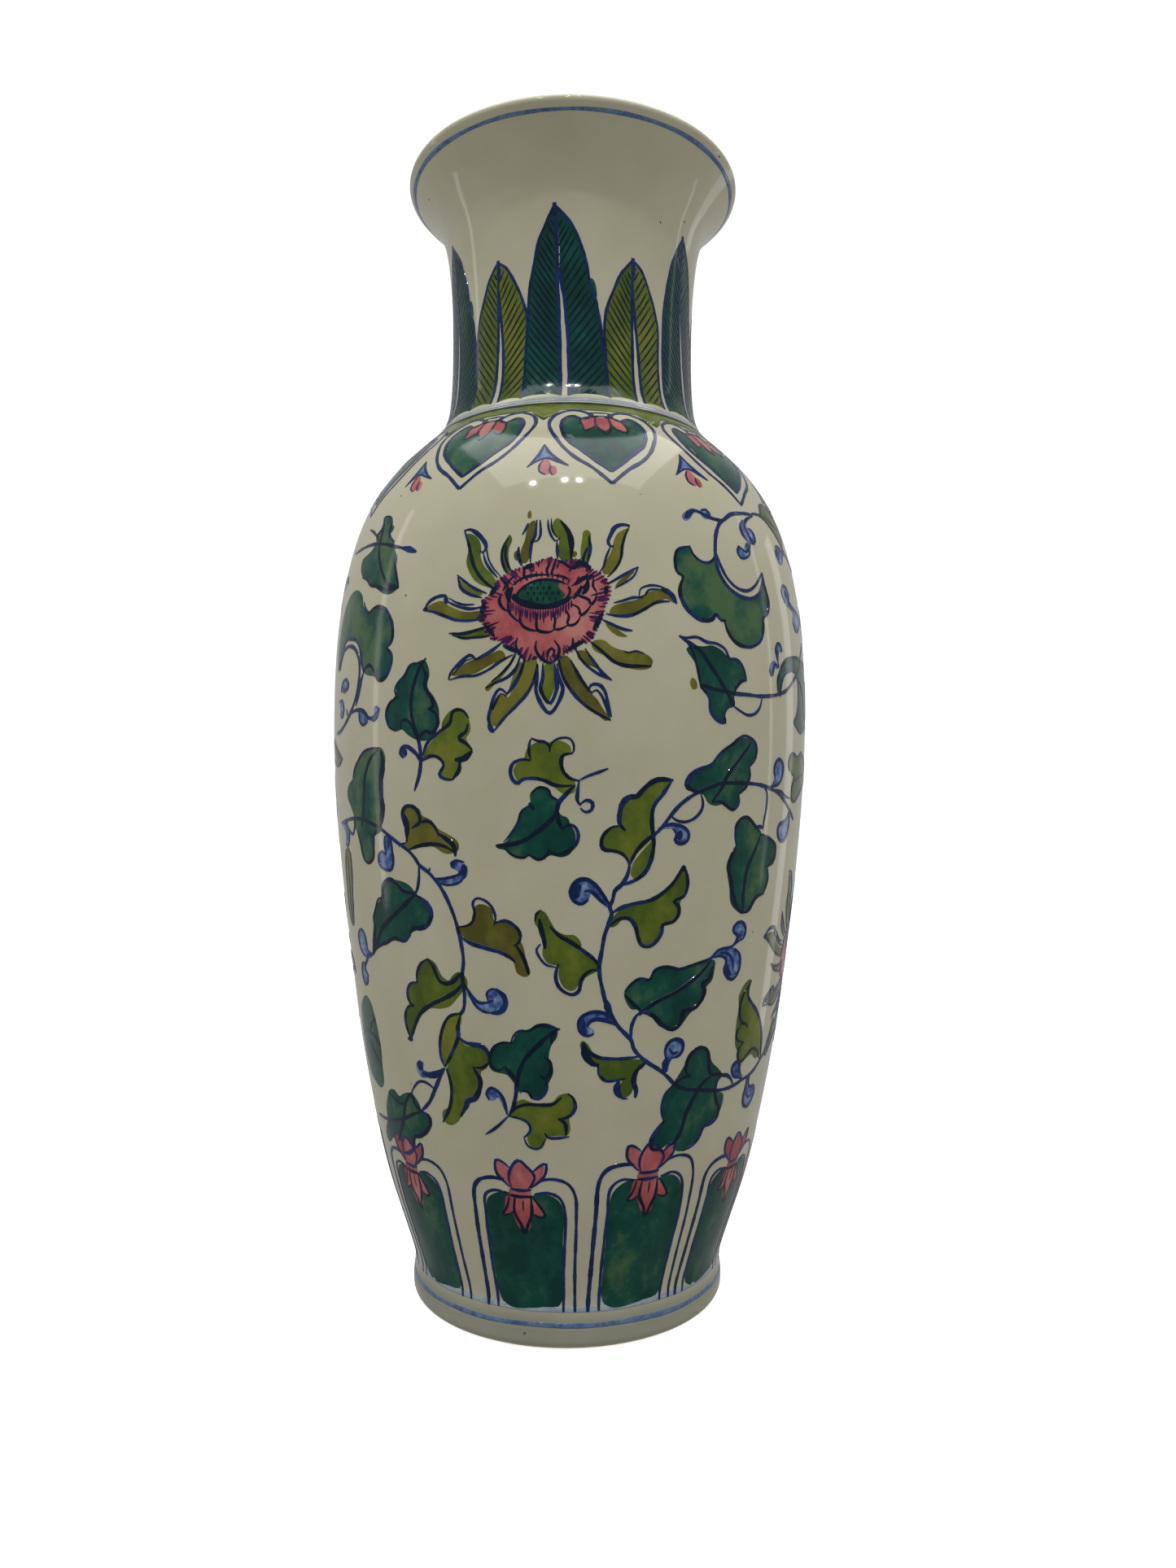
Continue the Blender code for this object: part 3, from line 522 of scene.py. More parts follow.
            (-37.5, 176), (-35.6, 174.3), (-33.4, 173), (-30.6, 172.7), (-28.6, 174.3),
            (-27.7, 178), (-27.7, 181.3), (-29, 184.7), (-30.6, 187.3), (-30.1, 190.7),
            (-30.6, 193.3))),
    (MOSS, ((-27.2, 175), (-26.8, 177.7), (-24.7, 180.7), (-22.3, 180.7), (-20.7, 178),
            (-20.5, 174.7), (-21.4, 173), (-20, 170), (-20.6, 168), (-22.3, 166.7), (-23, 164),
            (-24.5, 162.1), (-26.1, 162.2), (-27.5, 163.3), (-26.8, 166.3), (-28.4, 168),
            (-30.6, 168.3), (-32, 167.3), (-31.1, 170), (-29.3, 172.7))),
    (WASH, ((-36.2, 171.3), (-37.5, 171.3), (-38.3, 169.8), (-37.6, 168.2), (-36.4, 168.4),
            (-36.1, 169.6))),
    (DARK, ((-44.3, 171.3), (-47, 171.2), (-50.2, 170.7), (-52.9, 169), (-55.6, 166.7),
            (-57, 163), (-60.2, 160.7), (-61.1, 157.7), (-59.3, 154.7), (-57.7, 152),
            (-57.9, 149.3), (-56.1, 146.7), (-54.7, 143.3), (-54, 140), (-52.5, 138.3),
            (-50.2, 138.7), (-48.8, 140.7), (-48.6, 144), (-48.4, 146), (-45.6, 147.7),
            (-45.2, 150.7), (-44.3, 153.3), (-44.7, 157.3), (-44.7, 162), (-43.4, 165.3),
            (-42.9, 168.7))),
    (WASH, ((-43.9, 146.7), (-42.3, 145.3), (-42, 142), (-41.8, 139.5), (-42.7, 137),
            (-45, 136.8), (-47, 138.3), (-47, 140.7), (-45.5, 142), (-44.3, 141),
            (-44.5, 144))),
    (WASH, ((-30, 134.5), (-26, 134), (-23.7, 134.5), (-22, 136), (-21.8, 138.3),
            (-23.3, 140), (-25.5, 139.8), (-25.8, 138.3), (-24, 137.3), (-24.5, 135.7),
            (-27, 135.3), (-30, 135.3))),
    (OLIVE, ((-37.9, 154), (-35.6, 154.7), (-33.1, 154), (-32.5, 152.3), (-30.6, 151.3),
             (-28.4, 148.7), (-26.1, 147.3), (-23.8, 145.3), (-23.6, 143.3), (-24.7, 142.3),
             (-27, 142), (-29.7, 143.7), (-33.4, 144), (-36.1, 142.8), (-37.7, 143),
             (-37.5, 145.3), (-37.2, 148.7), (-37.9, 151.3))),
    (DARK, ((-46.5, 132.7), (-44.3, 134), (-40.6, 134), (-37.5, 133), (-35.6, 131),
            (-32.5, 127.3), (-31.5, 125.3), (-32.2, 122.7), (-35.2, 120.7), (-37.9, 119.3),
            (-39.7, 117.3), (-44.3, 116.7), (-47.9, 115), (-51.5, 113.3), (-53.8, 111.7),
            (-52.9, 115.3), (-52, 119.3), (-52, 122.7), (-49.7, 126), (-47.5, 128.7))),
    (WASH, ((-53.8, 111.5), (-56.5, 112.8), (-57, 115.5), (-58.3, 117.8), (-60.2, 118),
            (-62, 116), (-61.7, 113), (-59.8, 110.8), (-57, 110), (-54.5, 110.5))),
    (WASH, ((-58.5, 108.5), (-61.5, 107.5), (-62.3, 104.5), (-61, 101.5), (-58.8, 102.5),
            (-58, 105), (-59.7, 106.7))),
    (MOSS, ((-35.2, 111), (-33.4, 112.6), (-31.4, 111.7), (-29.7, 108.2), (-27.9, 107),
            (-27, 108.3), (-25.2, 109.7), (-23.6, 108.7), (-23.1, 106), (-25.2, 103.3),
            (-27.9, 100), (-30.6, 98.9), (-33.4, 98.7), (-36.1, 97), (-38.4, 94), (-40.2, 90.7),
            (-41.5, 89), (-42.2, 92), (-42.2, 96), (-40.6, 98.7), (-40.7, 102), (-39.7, 104.3),
            (-37.5, 105.7), (-37, 108))),
    (MOSS, ((-25.4, 98.3), (-27.9, 97.7), (-29.5, 95.7), (-31.1, 92), (-31.8, 87.3),
            (-31.5, 84.7), (-30.6, 82.7), (-28.8, 86), (-27.5, 89.3), (-26.5, 92.7),
            (-25.2, 96))),
    (MOSS, ((-26.3, 91.3), (-24.7, 89.3), (-22.3, 89), (-20, 88.7), (-18.6, 86), (-19.5, 83.3),
            (-20.9, 82.3), (-21.1, 79.3), (-22.3, 75.3), (-25.2, 73.3), (-27, 69.3),
            (-28.8, 66.7), (-31.1, 65.5), (-33.1, 66.7), (-32.9, 69.3), (-31.1, 70.7),
            (-30, 73.3), (-29.7, 77.3), (-30.4, 81.3), (-28.4, 86))),
    (WASH, ((-31.3, 82), (-33, 80), (-36, 78.7), (-38.5, 78), (-40, 79.5), (-40.2, 81.7),
            (-38.8, 83), (-37.3, 82.3), (-38, 80.7), (-36, 80), (-33.5, 80.7))),
    (DARK, ((-43.1, 72.3), (-45.2, 72.3), (-47.5, 71.3), (-49.3, 70.3), (-51.5, 71.7),
            (-54.3, 71), (-56.1, 68.7), (-58.4, 64.7), (-59.4, 60.7), (-62, 57.6), (-63.4, 54.6),
            (-62, 53), (-59.8, 54), (-57.6, 55.6), (-55.2, 54.6), (-52, 53), (-48.8, 53.7),
            (-46.5, 55.3), (-45.2, 58.7), (-42.5, 60), (-39.3, 61.7), (-37.5, 64), (-37.9, 66.7),
            (-40.2, 67.7), (-41.1, 70))),
    (DARK, ((-68, 93), (-64.3, 96.7), (-61.5, 98), (-58.8, 96.7), (-57, 92.7), (-55.9, 86.7),
            (-55.6, 83.3), (-56.3, 78), (-57, 72.7), (-59.7, 70.3), (-64.3, 71.3), (-68, 73.5),
            (-70, 79), (-69.6, 87))),
    # Towards the vase's two sides.
    (DARK, ((51.8, 188.7), (51.9, 192), (53, 194.7), (55, 197.5), (57.7, 199), (61, 200),
            (65, 200.4), (70, 200.2), (74, 198.6), (76.4, 195), (77, 190), (76, 184.6),
            (73.4, 180.6), (70, 178.6), (66, 178), (63.5, 179), (61.3, 180.4), (63, 182.5),
            (64.3, 185.5), (64.8, 190), (64.6, 193), (63, 195.3), (60, 196), (57.3, 195.3),
            (55, 193.7), (53.6, 190.7), (53, 187.3))),
    (MOSS, ((54.6, 242), (58.6, 240), (62.4, 237.3), (65.4, 235), (67.6, 236.6), (68.4, 240.4),
            (66.4, 244), (62.4, 246.6), (58, 246.4), (55.6, 244.4))),
    (WASH, ((57.5, 231), (59, 233.5), (61, 234), (64, 233.4), (66, 232.6), (63.8, 231.5),
            (62, 229), (60, 228), (58, 229))),
    (WASH, ((57.3, 219), (58.5, 221.3), (61, 221.3), (62.2, 219.5), (61.5, 217.5), (63.5, 216),
            (68, 215.2), (72, 213.5), (75, 213), (71, 212), (68.5, 210), (66, 208.7),
            (64, 209.3), (62.8, 211.5), (64, 214), (61, 215), (58.8, 216))),
    (MOSS, ((58.2, 167.5), (59, 170), (61, 170.8), (65, 170), (68, 171.5), (72, 170.5),
            (77, 168), (79.4, 165.4), (77, 163), (73, 161.5), (68, 159), (64, 156.8),
            (61.5, 157.5), (61, 160.5), (62.5, 164.5), (60.5, 165), (58.8, 166))),
    (WASH, ((62, 79.5), (64, 80), (66, 82), (67.3, 85), (66, 86), (64, 85), (62.5, 82))),
    (WASH, ((-78, 223.4), (-75, 225.4), (-72, 226), (-69, 225), (-68, 223.5), (-70, 221.6),
            (-74, 221.8))),
    (OLIVE, ((-74, 176.4), (-70, 173.6), (-66.6, 171.4), (-64, 169), (-67, 167.4), (-71, 167.6),
             (-75, 169.6), (-76.6, 173.4))),
    (WASH, ((-67, 149), (-64, 149.4), (-62, 148), (-61.6, 145.6), (-63, 143), (-65.2, 143),
            (-64.4, 145.6), (-65.6, 147.6))),
    (OLIVE, ((-62.5, 142), (-61.4, 138.6), (-62, 135), (-63, 130), (-64, 124), (-65.5, 119),
             (-67.4, 119.6), (-68.5, 124), (-68, 130), (-67.4, 137), (-65, 142))),
)  # fmt: skip

SCROLL_LINES = (
    # Leaf under the blossom.
    (0.9, ((-7.9, 167), (-9.5, 167.3), (-11.4, 166.3), (-12, 164), (-11.4, 161.7), (-10.5, 161),
           (-9.5, 162), (-7, 162.3), (-5, 161.7), (-3.2, 160.6), (-1.4, 160.3), (0.5, 160.5))),
    (0.7, ((-7.8, 167.2), (-8.2, 169.3), (-8, 172), (-7.6, 172.9))),
    (0.8, ((-7.7, 172.9), (-6.4, 172.1), (-4.9, 171.8), (-4.1, 170.7), (-4.1, 169.2))),
    (0.6, ((-4.1, 170), (-3.4, 172), (-1.6, 173), (0, 172.7), (0.7, 171), (0.5, 169),
           (-0.3, 168.7))),
    (1.0, ((0.3, 168.9), (-1.4, 168.4), (-1.8, 166.3), (-1.3, 164), (0, 162.3), (1.8, 161.7))),
    (0.8, ((1.8, 161.8), (3.6, 163), (5.9, 164.1), (7.6, 165))),
    (0.9, ((1.8, 161.8), (1.5, 158.7), (1.5, 156.3), (2.2, 155.2))),
    (0.9, ((2.1, 155.6), (3.2, 156.6), (4.5, 155.9), (4.3, 154), (2.9, 153.5), (2.1, 154.6))),
    (1.1, ((1, 160.6), (-0.9, 158), (-2.3, 155.7), (-2.7, 153.3), (-4.3, 150.7), (-6.8, 148),
           (-9.1, 146), (-12.3, 144.7), (-15.3, 144.4))),
    (0.7, ((-7.7, 158.3), (-6.4, 159.9), (-4.3, 159.3), (-3.9, 157.7), (-2.3, 156.6))),
    (1.3, ((-8.2, 155.9), (-7.2, 154))),
    (0.6, ((-7.9, 155.4), (-9.8, 153.6), (-10.6, 150.4), (-12.2, 147.4), (-13.6, 145.3))),
    (0.7, ((-13.4, 143.7), (-11.4, 141.7), (-9.3, 141.3), (-8.2, 142.2))),
    (0.9, ((-8.2, 142), (-6.4, 140.9), (-5, 141.6), (-4.2, 143.6))),
    (0.9, ((-4.3, 143.2), (-2.3, 142.3), (-0.2, 143.3), (1.4, 145.3), (1.7, 147.7), (0.9, 149.7),
           (-0.2, 150.1), (-1.6, 149))),
    (1.1, ((-2.5, 153.7), (-2.3, 151), (-1.4, 148.7))),
    # The leaf and stem to its right.
    (1.3, ((21.4, 162.1), (19.1, 162.3), (17.7, 162.1), (16.1, 161), (14.5, 159), (13.6, 157.7),
           (12, 157.5), (10.7, 156), (10.1, 153.5), (10.1, 150.5), (11.3, 148.6))),
    (0.9, ((10.2, 149.9), (8.6, 149.5), (7, 147.7), (6.4, 145.7), (6.8, 143.7), (8.9, 143.2),
           (10.7, 142.5), (12, 140.7), (12.4, 139))),
    (1.1, ((12.3, 139.3), (13.6, 142.7), (15.5, 145.7), (17.3, 147.3), (19.1, 149.3))),
    (1.1, ((21, 161.8), (19.1, 158.3), (17.2, 155), (16.9, 150.9), (17.3, 147.3), (17.5, 144.7),
           (17, 140.7), (15.7, 137.3), (13.6, 135.3), (10.7, 134))),
    (1.0, ((12.4, 139.3), (12, 136.7), (10.7, 134), (9.5, 132.7), (9, 130), (8.4, 128),
           (8.9, 126.7), (8.2, 123.3), (7.5, 120.7), (7, 116.7), (6.5, 112.7), (6.6, 110),
           (7.3, 106), (8.4, 101.3), (9.5, 99), (10.9, 96), (12.7, 93.7), (14.3, 91.7),
           (15, 89.3), (16.4, 87.3), (18.4, 85.3), (21.8, 82.7), (24.3, 80.3), (26.1, 78.3),
           (29.5, 76.3), (33.2, 75.5), (36.8, 74.7), (39.5, 74.1), (43.2, 73.8), (46.8, 74.1),
           (50.5, 75), (53.6, 75.5), (56.8, 76.7), (60, 78.9), (63.6, 81.5), (68, 85.6)), "blunt"),
    (1.6, ((8.2, 103), (8.7, 100.6), (9.6, 98.6))),
    (0.8, ((11.9, 137.2), (11.2, 134.9), (10.2, 133))),
    (1.0, ((8.6, 128.3), (7.2, 131), (5.6, 133.8), (3.4, 135.7), (1.3, 135), (0.2, 132.5),
           (0.9, 129.9), (2.6, 129.1), (3.9, 130.2))),
    (2.6, ((2.2, 134.3), (1.2, 132.6), (1.6, 130.6))),
    (0.9, ((7.9, 128.4), (6.6, 129.8), (5.3, 131.6), (4.2, 132.6), (3, 132.4))),
    # Leaf at the left of the circle's foot.
    (0.7, ((-25, 122.1), (-22.7, 122.5), (-21.1, 123.7), (-20.5, 126.7), (-20.9, 128.7),
           (-20, 130.1), (-18.2, 129.7), (-16.6, 128), (-15.8, 125), (-16.2, 122.9))),
    (0.9, ((-15.9, 123.7), (-13.6, 124.3), (-11.6, 123), (-10.5, 121), (-10.7, 118.7),
           (-11.9, 117.6))),
    (1.1, ((-11.6, 117.9), (-10.5, 116), (-9.5, 113.3), (-8.8, 110))),
    (1.1, ((-24.5, 119.8), (-22.3, 118.1), (-18.2, 116.7), (-15, 115.7), (-13.2, 114.7),
           (-11.7, 113.3))),
    # Leaf under the circle.
    (1.0, ((-4.1, 123), (-2.3, 120.7), (0.5, 118.7), (3.2, 116.3), (5.5, 114), (6.6, 112))),
    (1.4, ((-6.3, 125), (-5.9, 122), (-5.3, 119), (-5.2, 117))),
    (0.7, ((-6.1, 118.3), (-7, 116.7), (-6.4, 114.7), (-5, 112.7), (-2.7, 112))),
    (0.9, ((-2.3, 113), (-2.9, 110), (-2.5, 107.3), (-1, 105.3), (0.9, 104.6), (2.2, 105.7),
           (2.5, 108), (3.6, 110.3), (5.2, 111.3), (6.6, 111))),
    (0.7, ((-5.9, 127.4), (-6.9, 126.4), (-7.2, 124.4))),
    # Leaf at the circle's middle.
    (1.0, ((8.6, 126.3), (10.9, 128), (13.6, 129), (16.8, 129.7), (19.1, 131), (21.8, 133.7),
           (23.6, 136.7), (24.6, 139.2))),
    (1.8, ((24.4, 138.9), (24.8, 137.6))),
    (1.0, ((8.4, 123), (10.5, 125), (12.7, 125), (14.1, 123), (14.8, 120), (15.7, 117.7),
           (17.3, 117.3), (19.1, 118.7), (20.2, 121), (20.4, 123.2), (22.5, 123.7), (24, 125.6),
           (23.9, 128), (22.7, 129.5), (25, 130.7), (25.8, 133.3), (25.5, 136.7),
           (24.9, 138.6))),
    # Curl and leaf at the lower middle.
    (0.9, ((10.9, 96), (9, 98.7), (7, 99.7), (4.5, 99.6), (2.5, 98), (2.1, 96), (2.8, 94.1),
           (4.3, 93.2), (5.6, 93.8))),
    (1.2, ((10.6, 96.1), (8.4, 97.3), (6.4, 97.8), (4.8, 97.3), (4, 95.8))),
    (1.8, ((3, 98), (3, 95.4), (4, 94))),
    (0.9, ((3.3, 91.7), (4.5, 89), (6.8, 87.3), (9.5, 86.8), (13.2, 86.7), (16.4, 87))),
    (1.7, ((3.2, 91.3), (3.9, 87.8), (5.7, 85.4), (7, 85.2))),
    (0.8, ((6.8, 85.3), (6.9, 82.8), (8.6, 80.7), (11.4, 80.7), (13.5, 81.1))),
    (1.8, ((11.8, 80.4), (11.4, 77.9), (12.4, 75.8))),
    (0.6, ((12, 76.2), (12.9, 75.5), (14.2, 75.3))),
    (1.4, ((18.2, 85.3), (16, 83), (15.4, 80), (16.2, 77.3), (16, 75.4))),
    (0.9, ((14.3, 91.7), (14.2, 95.3), (15.2, 98.3), (16.4, 99.6))),
    (1.8, ((15.9, 99.7), (16.8, 99.1))),
    # Dark leaf and its stem at the lower middle.
    (1.1, ((-2, 95.3), (-3.6, 94.3), (-5.5, 92.3), (-7.7, 89.7), (-10, 86.7), (-11.4, 83.3),
           (-12, 80.7), (-12.3, 78), (-12.7, 75.3), (-13.4, 72.7), (-14.5, 70.3))),
    (0.8, ((-2, 95), (-4.5, 96.1), (-7, 96), (-9.1, 94.3))),
    (0.6, ((-9.1, 94.5), (-11.4, 94.3), (-12.7, 92.7), (-13.3, 90.7))),
    (0.7, ((-13, 91), (-15.5, 90.8), (-17.5, 89.3), (-18.4, 86.7), (-18.2, 84.3), (-16.4, 83),
           (-15.2, 84))),
    (1.1, ((-15, 84.3), (-13.2, 82), (-12, 80))),
    (0.9, ((-2.5, 95), (-3.7, 93), (-4, 91.1))),
    (0.8, ((-5.5, 87.3), (-4.3, 86.3), (-4.1, 84), (-5, 81.7), (-6.6, 82.3))),
    (0.8, ((-6.6, 82), (-5.2, 80.7), (-5.2, 78), (-6.8, 75.7), (-8.6, 76), (-9.5, 77.5),
           (-11.8, 77.7))),
    (0.9, ((-14.3, 70.7), (-12.7, 72.7), (-10, 73.9), (-6.8, 73.9), (-3.6, 74.3), (-1.6, 76.3))),
    (0.9, ((-0.2, 77.3), (1.1, 76), (1.6, 73.3), (0.7, 71.3), (-0.9, 70.3), (-2.5, 70.1))),
    (1.0, ((-2.5, 70.1), (-0.9, 69), (-0.5, 67), (-0.6, 65.5))),
    (0.8, ((0.3, 65), (-2.3, 64.6), (-5, 64.7), (-5.7, 66))),
    (0.6, ((-10.9, 64.5), (-10.2, 62.3), (-8.4, 61.2), (-6.8, 61.7), (-5.5, 64.3))),
    (0.8, ((-14.5, 70.3), (-11.4, 69.7), (-9.8, 68.7), (-9.2, 66.7), (-10, 65.3), (-10.9, 64.5))),
    (0.9, ((-14.9, 70.7), (-15.2, 73.3), (-16.1, 76), (-17.3, 77.5), (-18.6, 77.9),
           (-19.9, 76.2), (-19.2, 74.4))),
    (0.8, ((-14.6, 70.3), (-17.3, 67.3), (-19.1, 65.7), (-20.9, 64.4))),
    (0.9, ((-24, 106.7), (-22.3, 103.4), (-20.5, 101.6), (-18.4, 101.8), (-17, 102.6))),
    (0.7, ((-22.8, 103.6), (-21.4, 100.8), (-19.4, 99.2), (-17.4, 98.9))),
    (1.5, ((-16.2, 105.6), (-14.4, 103.6), (-14.2, 101.4), (-15.6, 99.3), (-17.6, 98.9))),
    (0.6, ((-18.3, 102.3), (-18.5, 104.3), (-17.2, 105.6), (-15.8, 105.5))),
    # Dark leaf right of the circle's foot.
    (0.8, ((12.3, 105.2), (13.6, 107), (15.5, 108.5), (18, 108.2), (19.1, 110.7), (21.4, 111.5),
           (23.6, 111), (25.2, 110.6), (28.6, 111.5), (33.6, 113), (35.5, 115), (40, 115.7),
           (41.6, 117.2))),
    (1.0, ((12.3, 104.5), (14.1, 102), (15.9, 100.1), (16.4, 99.3))),
    (1.1, ((16.4, 99.3), (20, 102), (24.1, 104), (27.7, 106.3), (30.9, 109), (33.8, 112.4))),
    (1.2, ((16.4, 99.3), (19.1, 98.3), (21.4, 95.7), (24.3, 93.9), (26.4, 95.3), (27, 98.7),
           (30, 99.3), (32, 101.7), (32.5, 104.3), (31.6, 106), (33.6, 107.3), (34.4, 111))),
    (1.5, ((26.6, 98.6), (28, 98.9))),
    (1.5, ((31.3, 106), (32.6, 105.8))),
    (0.9, ((40, 115.8), (41.3, 117.4), (41.4, 118.8), (40, 119.7), (40, 121.4), (41.5, 122.5),
           (43.3, 121.9), (44.2, 120), (43.7, 117.8), (42, 116.9))),
    (0.9, ((34.3, 113), (36.5, 113.3), (38.3, 112.2), (38.4, 110.6), (38, 109.2), (39.5, 106.8),
           (41.3, 106.1), (43, 108), (43.4, 110.5), (42.7, 113.3), (41, 115))),
    (0.9, ((36, 114.3), (39, 113.6), (40.6, 111.4), (41, 108.4))),
    (1.5, ((38.6, 110.9), (39.3, 108.6), (40.6, 107.4))),
    # Knob, dark leaf and yellow leaf along the lower stem.
    (1.6, ((23.2, 81.7), (23.2, 84.5), (23.6, 86.2))),
    (1.0, ((23.2, 86), (22.9, 88.2), (23.8, 90.3), (25.5, 91), (27.3, 90.1), (27.7, 88),
           (26.6, 86.1), (24.8, 85.8))),
    (0.8, ((24, 88.6), (25, 87), (26.4, 87.4))),
    (1.0, ((30.9, 79.7), (29.3, 81), (29.1, 83.3), (30.2, 86.3), (32.3, 87.7), (34.3, 87.3),
           (35.7, 85.3), (36.1, 82), (37.3, 79.3), (39.5, 79), (41.4, 78.3), (43.6, 77.7),
           (45.5, 76), (46.6, 74.2))),
    (1.0, ((41.4, 78.3), (39.8, 76.7), (39.5, 74), (40.5, 70.7), (42, 68.3), (41.4, 65.3),
           (39.5, 64.3), (37.3, 64), (35.9, 60.7), (34.1, 59), (30.9, 58))),
    (0.7, ((26.1, 78), (24.1, 76), (23.2, 72.7), (23.6, 69.3), (24.3, 67.7))),
    (1.4, ((24.3, 67.7), (22.5, 65.3), (21.1, 61.7), (21.8, 60), (23.6, 59.4))),
    (1.3, ((37.7, 79.3), (35, 77.3), (33.4, 75.3), (31.8, 72), (30.5, 68.7), (29.8, 64.7),
           (28.2, 61.3), (26, 60))),
    (0.9, ((25.9, 78), (28.2, 79.7), (30.9, 79.7))),
    (1.0, ((50.5, 75.3), (48.5, 76.2), (46.8, 76.7), (45.3, 78.1), (45.1, 80), (46.5, 81.1),
           (48.2, 80.8), (48.4, 78.8), (49.6, 76.6))),
    (1.0, ((53.3, 75.4), (53.1, 72), (52.8, 69), (54, 66.5), (56.5, 65.5), (58.8, 67),
           (59.5, 69.5), (58.2, 71.4), (56, 71.6), (54.7, 72.7), (54.4, 75.3))),
    (0.8, ((54.4, 70), (56, 68.4), (58, 69))),
    (1.0, ((48.9, 104.7), (48, 102.7), (48.4, 100), (50.5, 97.7), (53.6, 94.7), (56.4, 91),
           (58.2, 87.3), (59.3, 83.3), (60, 80))),
    (1.0, ((47.7, 103.3), (46.1, 101), (45.2, 97.7), (45.9, 94), (46.8, 92.7), (48.6, 92),
           (49.8, 90.8))),
    (0.7, ((46.6, 92.5), (45.2, 90.3), (45.5, 88), (48.8, 86.5))),
    (0.9, ((48.8, 86.6), (47, 85.3), (46.8, 82.7), (48.6, 80.7), (50.9, 82.3), (53.6, 83.7),
           (56.4, 82.7), (58.6, 80.3), (60, 79))),
    # The big scroll right of the upper blossom.
    (0.9, ((26.4, 226.5), (24.5, 225.8), (23, 224.7), (22.4, 222), (22.7, 218.7), (24.2, 217.7))),
    (1.1, ((24.2, 217.7), (23.2, 214.7), (23.2, 212), (24.8, 208.3), (27.7, 206), (30.5, 206.4),
           (31.8, 208), (33.2, 206.5), (34.5, 206.7))),
    (1.0, ((34, 206.4), (34.8, 203.7), (36.8, 201), (40, 200), (43.2, 200.8), (45.7, 203.3),
           (46.7, 206.7), (46.8, 209.2), (48.9, 211.3), (49.7, 214.7), (48.8, 219.3),
           (48.5, 222.6))),
    (0.8, ((26.3, 226.7), (27, 224.3), (29.1, 222.5), (30.9, 222.5), (32.3, 223.7),
           (33.2, 225.7))),
    (1.1, ((50, 241), (44.5, 240), (40.5, 238.7), (38.2, 237), (35.7, 234.7), (34.1, 231.3),
           (33.3, 227.3), (33, 224), (33.6, 220), (35.5, 216.7), (38.2, 214.7), (41.8, 214),
           (45, 215.3), (47.3, 218), (48.6, 222.6))),
    (0.9, ((33.4, 225.7), (34.3, 222), (35.9, 218.7), (38.6, 216.5), (41.8, 216.3), (44.5, 218),
           (46.8, 220.7), (48.5, 223))),
    (1.0, ((38.2, 236.3), (35, 235.9), (32.5, 236.3), (30, 237.3), (28, 237.3), (26.6, 235.7),
           (25.9, 234.7))),
    (1.6, ((28.6, 237.2), (27, 236), (26.2, 234.6))),
    (0.7, ((31, 237.8), (32.4, 238.4), (33.6, 237))),
    (0.9, ((50, 240.6), (47, 239), (45.4, 237.6), (44.7, 236), (45.6, 233.6), (47, 231.6),
           (45.6, 231.4), (44.8, 229.4), (43, 228), (41.4, 229))),
    (0.9, ((44.6, 238), (43, 235.6), (43.3, 233), (44.8, 231.6))),
    (0.9, ((47, 231), (48.1, 233), (47.6, 235), (46.2, 235.8))),
    (0.7, ((45.1, 229.8), (44.5, 227.6), (43, 226.2), (41, 225.8), (40.1, 227.6), (41, 229.4))),
    # Dark leaf under the scroll, with its stem to the right.
    (1.1, ((22.5, 201.1), (24.5, 199.6), (27.5, 197.4), (29.5, 194.3), (31.8, 190.7),
           (33.6, 187.7), (35.5, 184.7), (36.4, 183))),
    (0.8, ((22.5, 201.1), (24.1, 200.7), (26.8, 201.1), (29.1, 200), (31.8, 199.8), (34.1, 198.3),
           (35, 196.1), (37.3, 196), (39.1, 194), (40.1, 190.7))),
    (1.0, ((40.1, 190.5), (38.2, 189.9), (36.8, 188), (36.4, 186.3))),
    (0.8, ((24.1, 200), (25.5, 197.3), (26.4, 194), (27, 190.7), (27.3, 188.3))),
    (1.0, ((27.3, 188.3), (30.5, 187.3), (33.6, 186.9), (36.4, 186.5), (40.5, 186.5),
           (44.5, 186.5), (49.1, 187.1), (52.7, 188), (55.9, 189.3), (60, 192.3), (63, 194.9),
           (66, 198), (69, 202.4), (72, 206)), "blunt"),
    (0.9, ((27.3, 187.7), (29.5, 185), (30, 181), (31.8, 178.7), (33.9, 178.3), (33.4, 180.3),
           (34.3, 182.3), (36.1, 183))),
    (2.0, ((35.2, 185.2), (36.2, 183.2))),
    (0.8, ((45.4, 186.4), (44.5, 183.3), (42.7, 181.3), (40.5, 180.8), (38.2, 181.7),
           (36.1, 183))),
    (0.9, ((52.6, 195.9), (52, 198), (51.3, 200.5), (52, 202.5), (53.6, 202.7), (54.5, 200.8))),
    (0.9, ((52.6, 195.7), (50.5, 196.4), (49.9, 194.4), (49.3, 192.9), (48.3, 194.5))),
    (1.6, ((51.8, 199), (51.6, 201.2))),
    # Dark leaf by the stem, and the stem with its loops.
    (1.3, ((27.3, 159), (24.6, 160.5), (25.1, 163), (27.3, 165), (30, 166.3), (30.7, 167))),
    (0.8, ((30.7, 167), (32.3, 169.3), (34.1, 171), (36.4, 172.7), (37.7, 174), (39.5, 174.9),
           (42.3, 174), (43.6, 172), (43.2, 168.7), (41.4, 166.2))),
    (0.9, ((41.4, 166.2), (41.7, 164), (40.5, 160.7), (38.5, 158.6))),
    (0.8, ((38.4, 158.4), (38.6, 156), (36.8, 154.2), (34.5, 155.7), (33.2, 156.5),
           (30.9, 156.3))),
    (1.1, ((30.9, 156.5), (33.2, 160), (35, 164), (37.3, 167.3), (39.5, 170.3), (41.8, 173.3))),
    (1.0, ((17.3, 147.3), (19.1, 149.3), (20.9, 152.3), (22.7, 155), (25, 157.3), (27.5, 159),
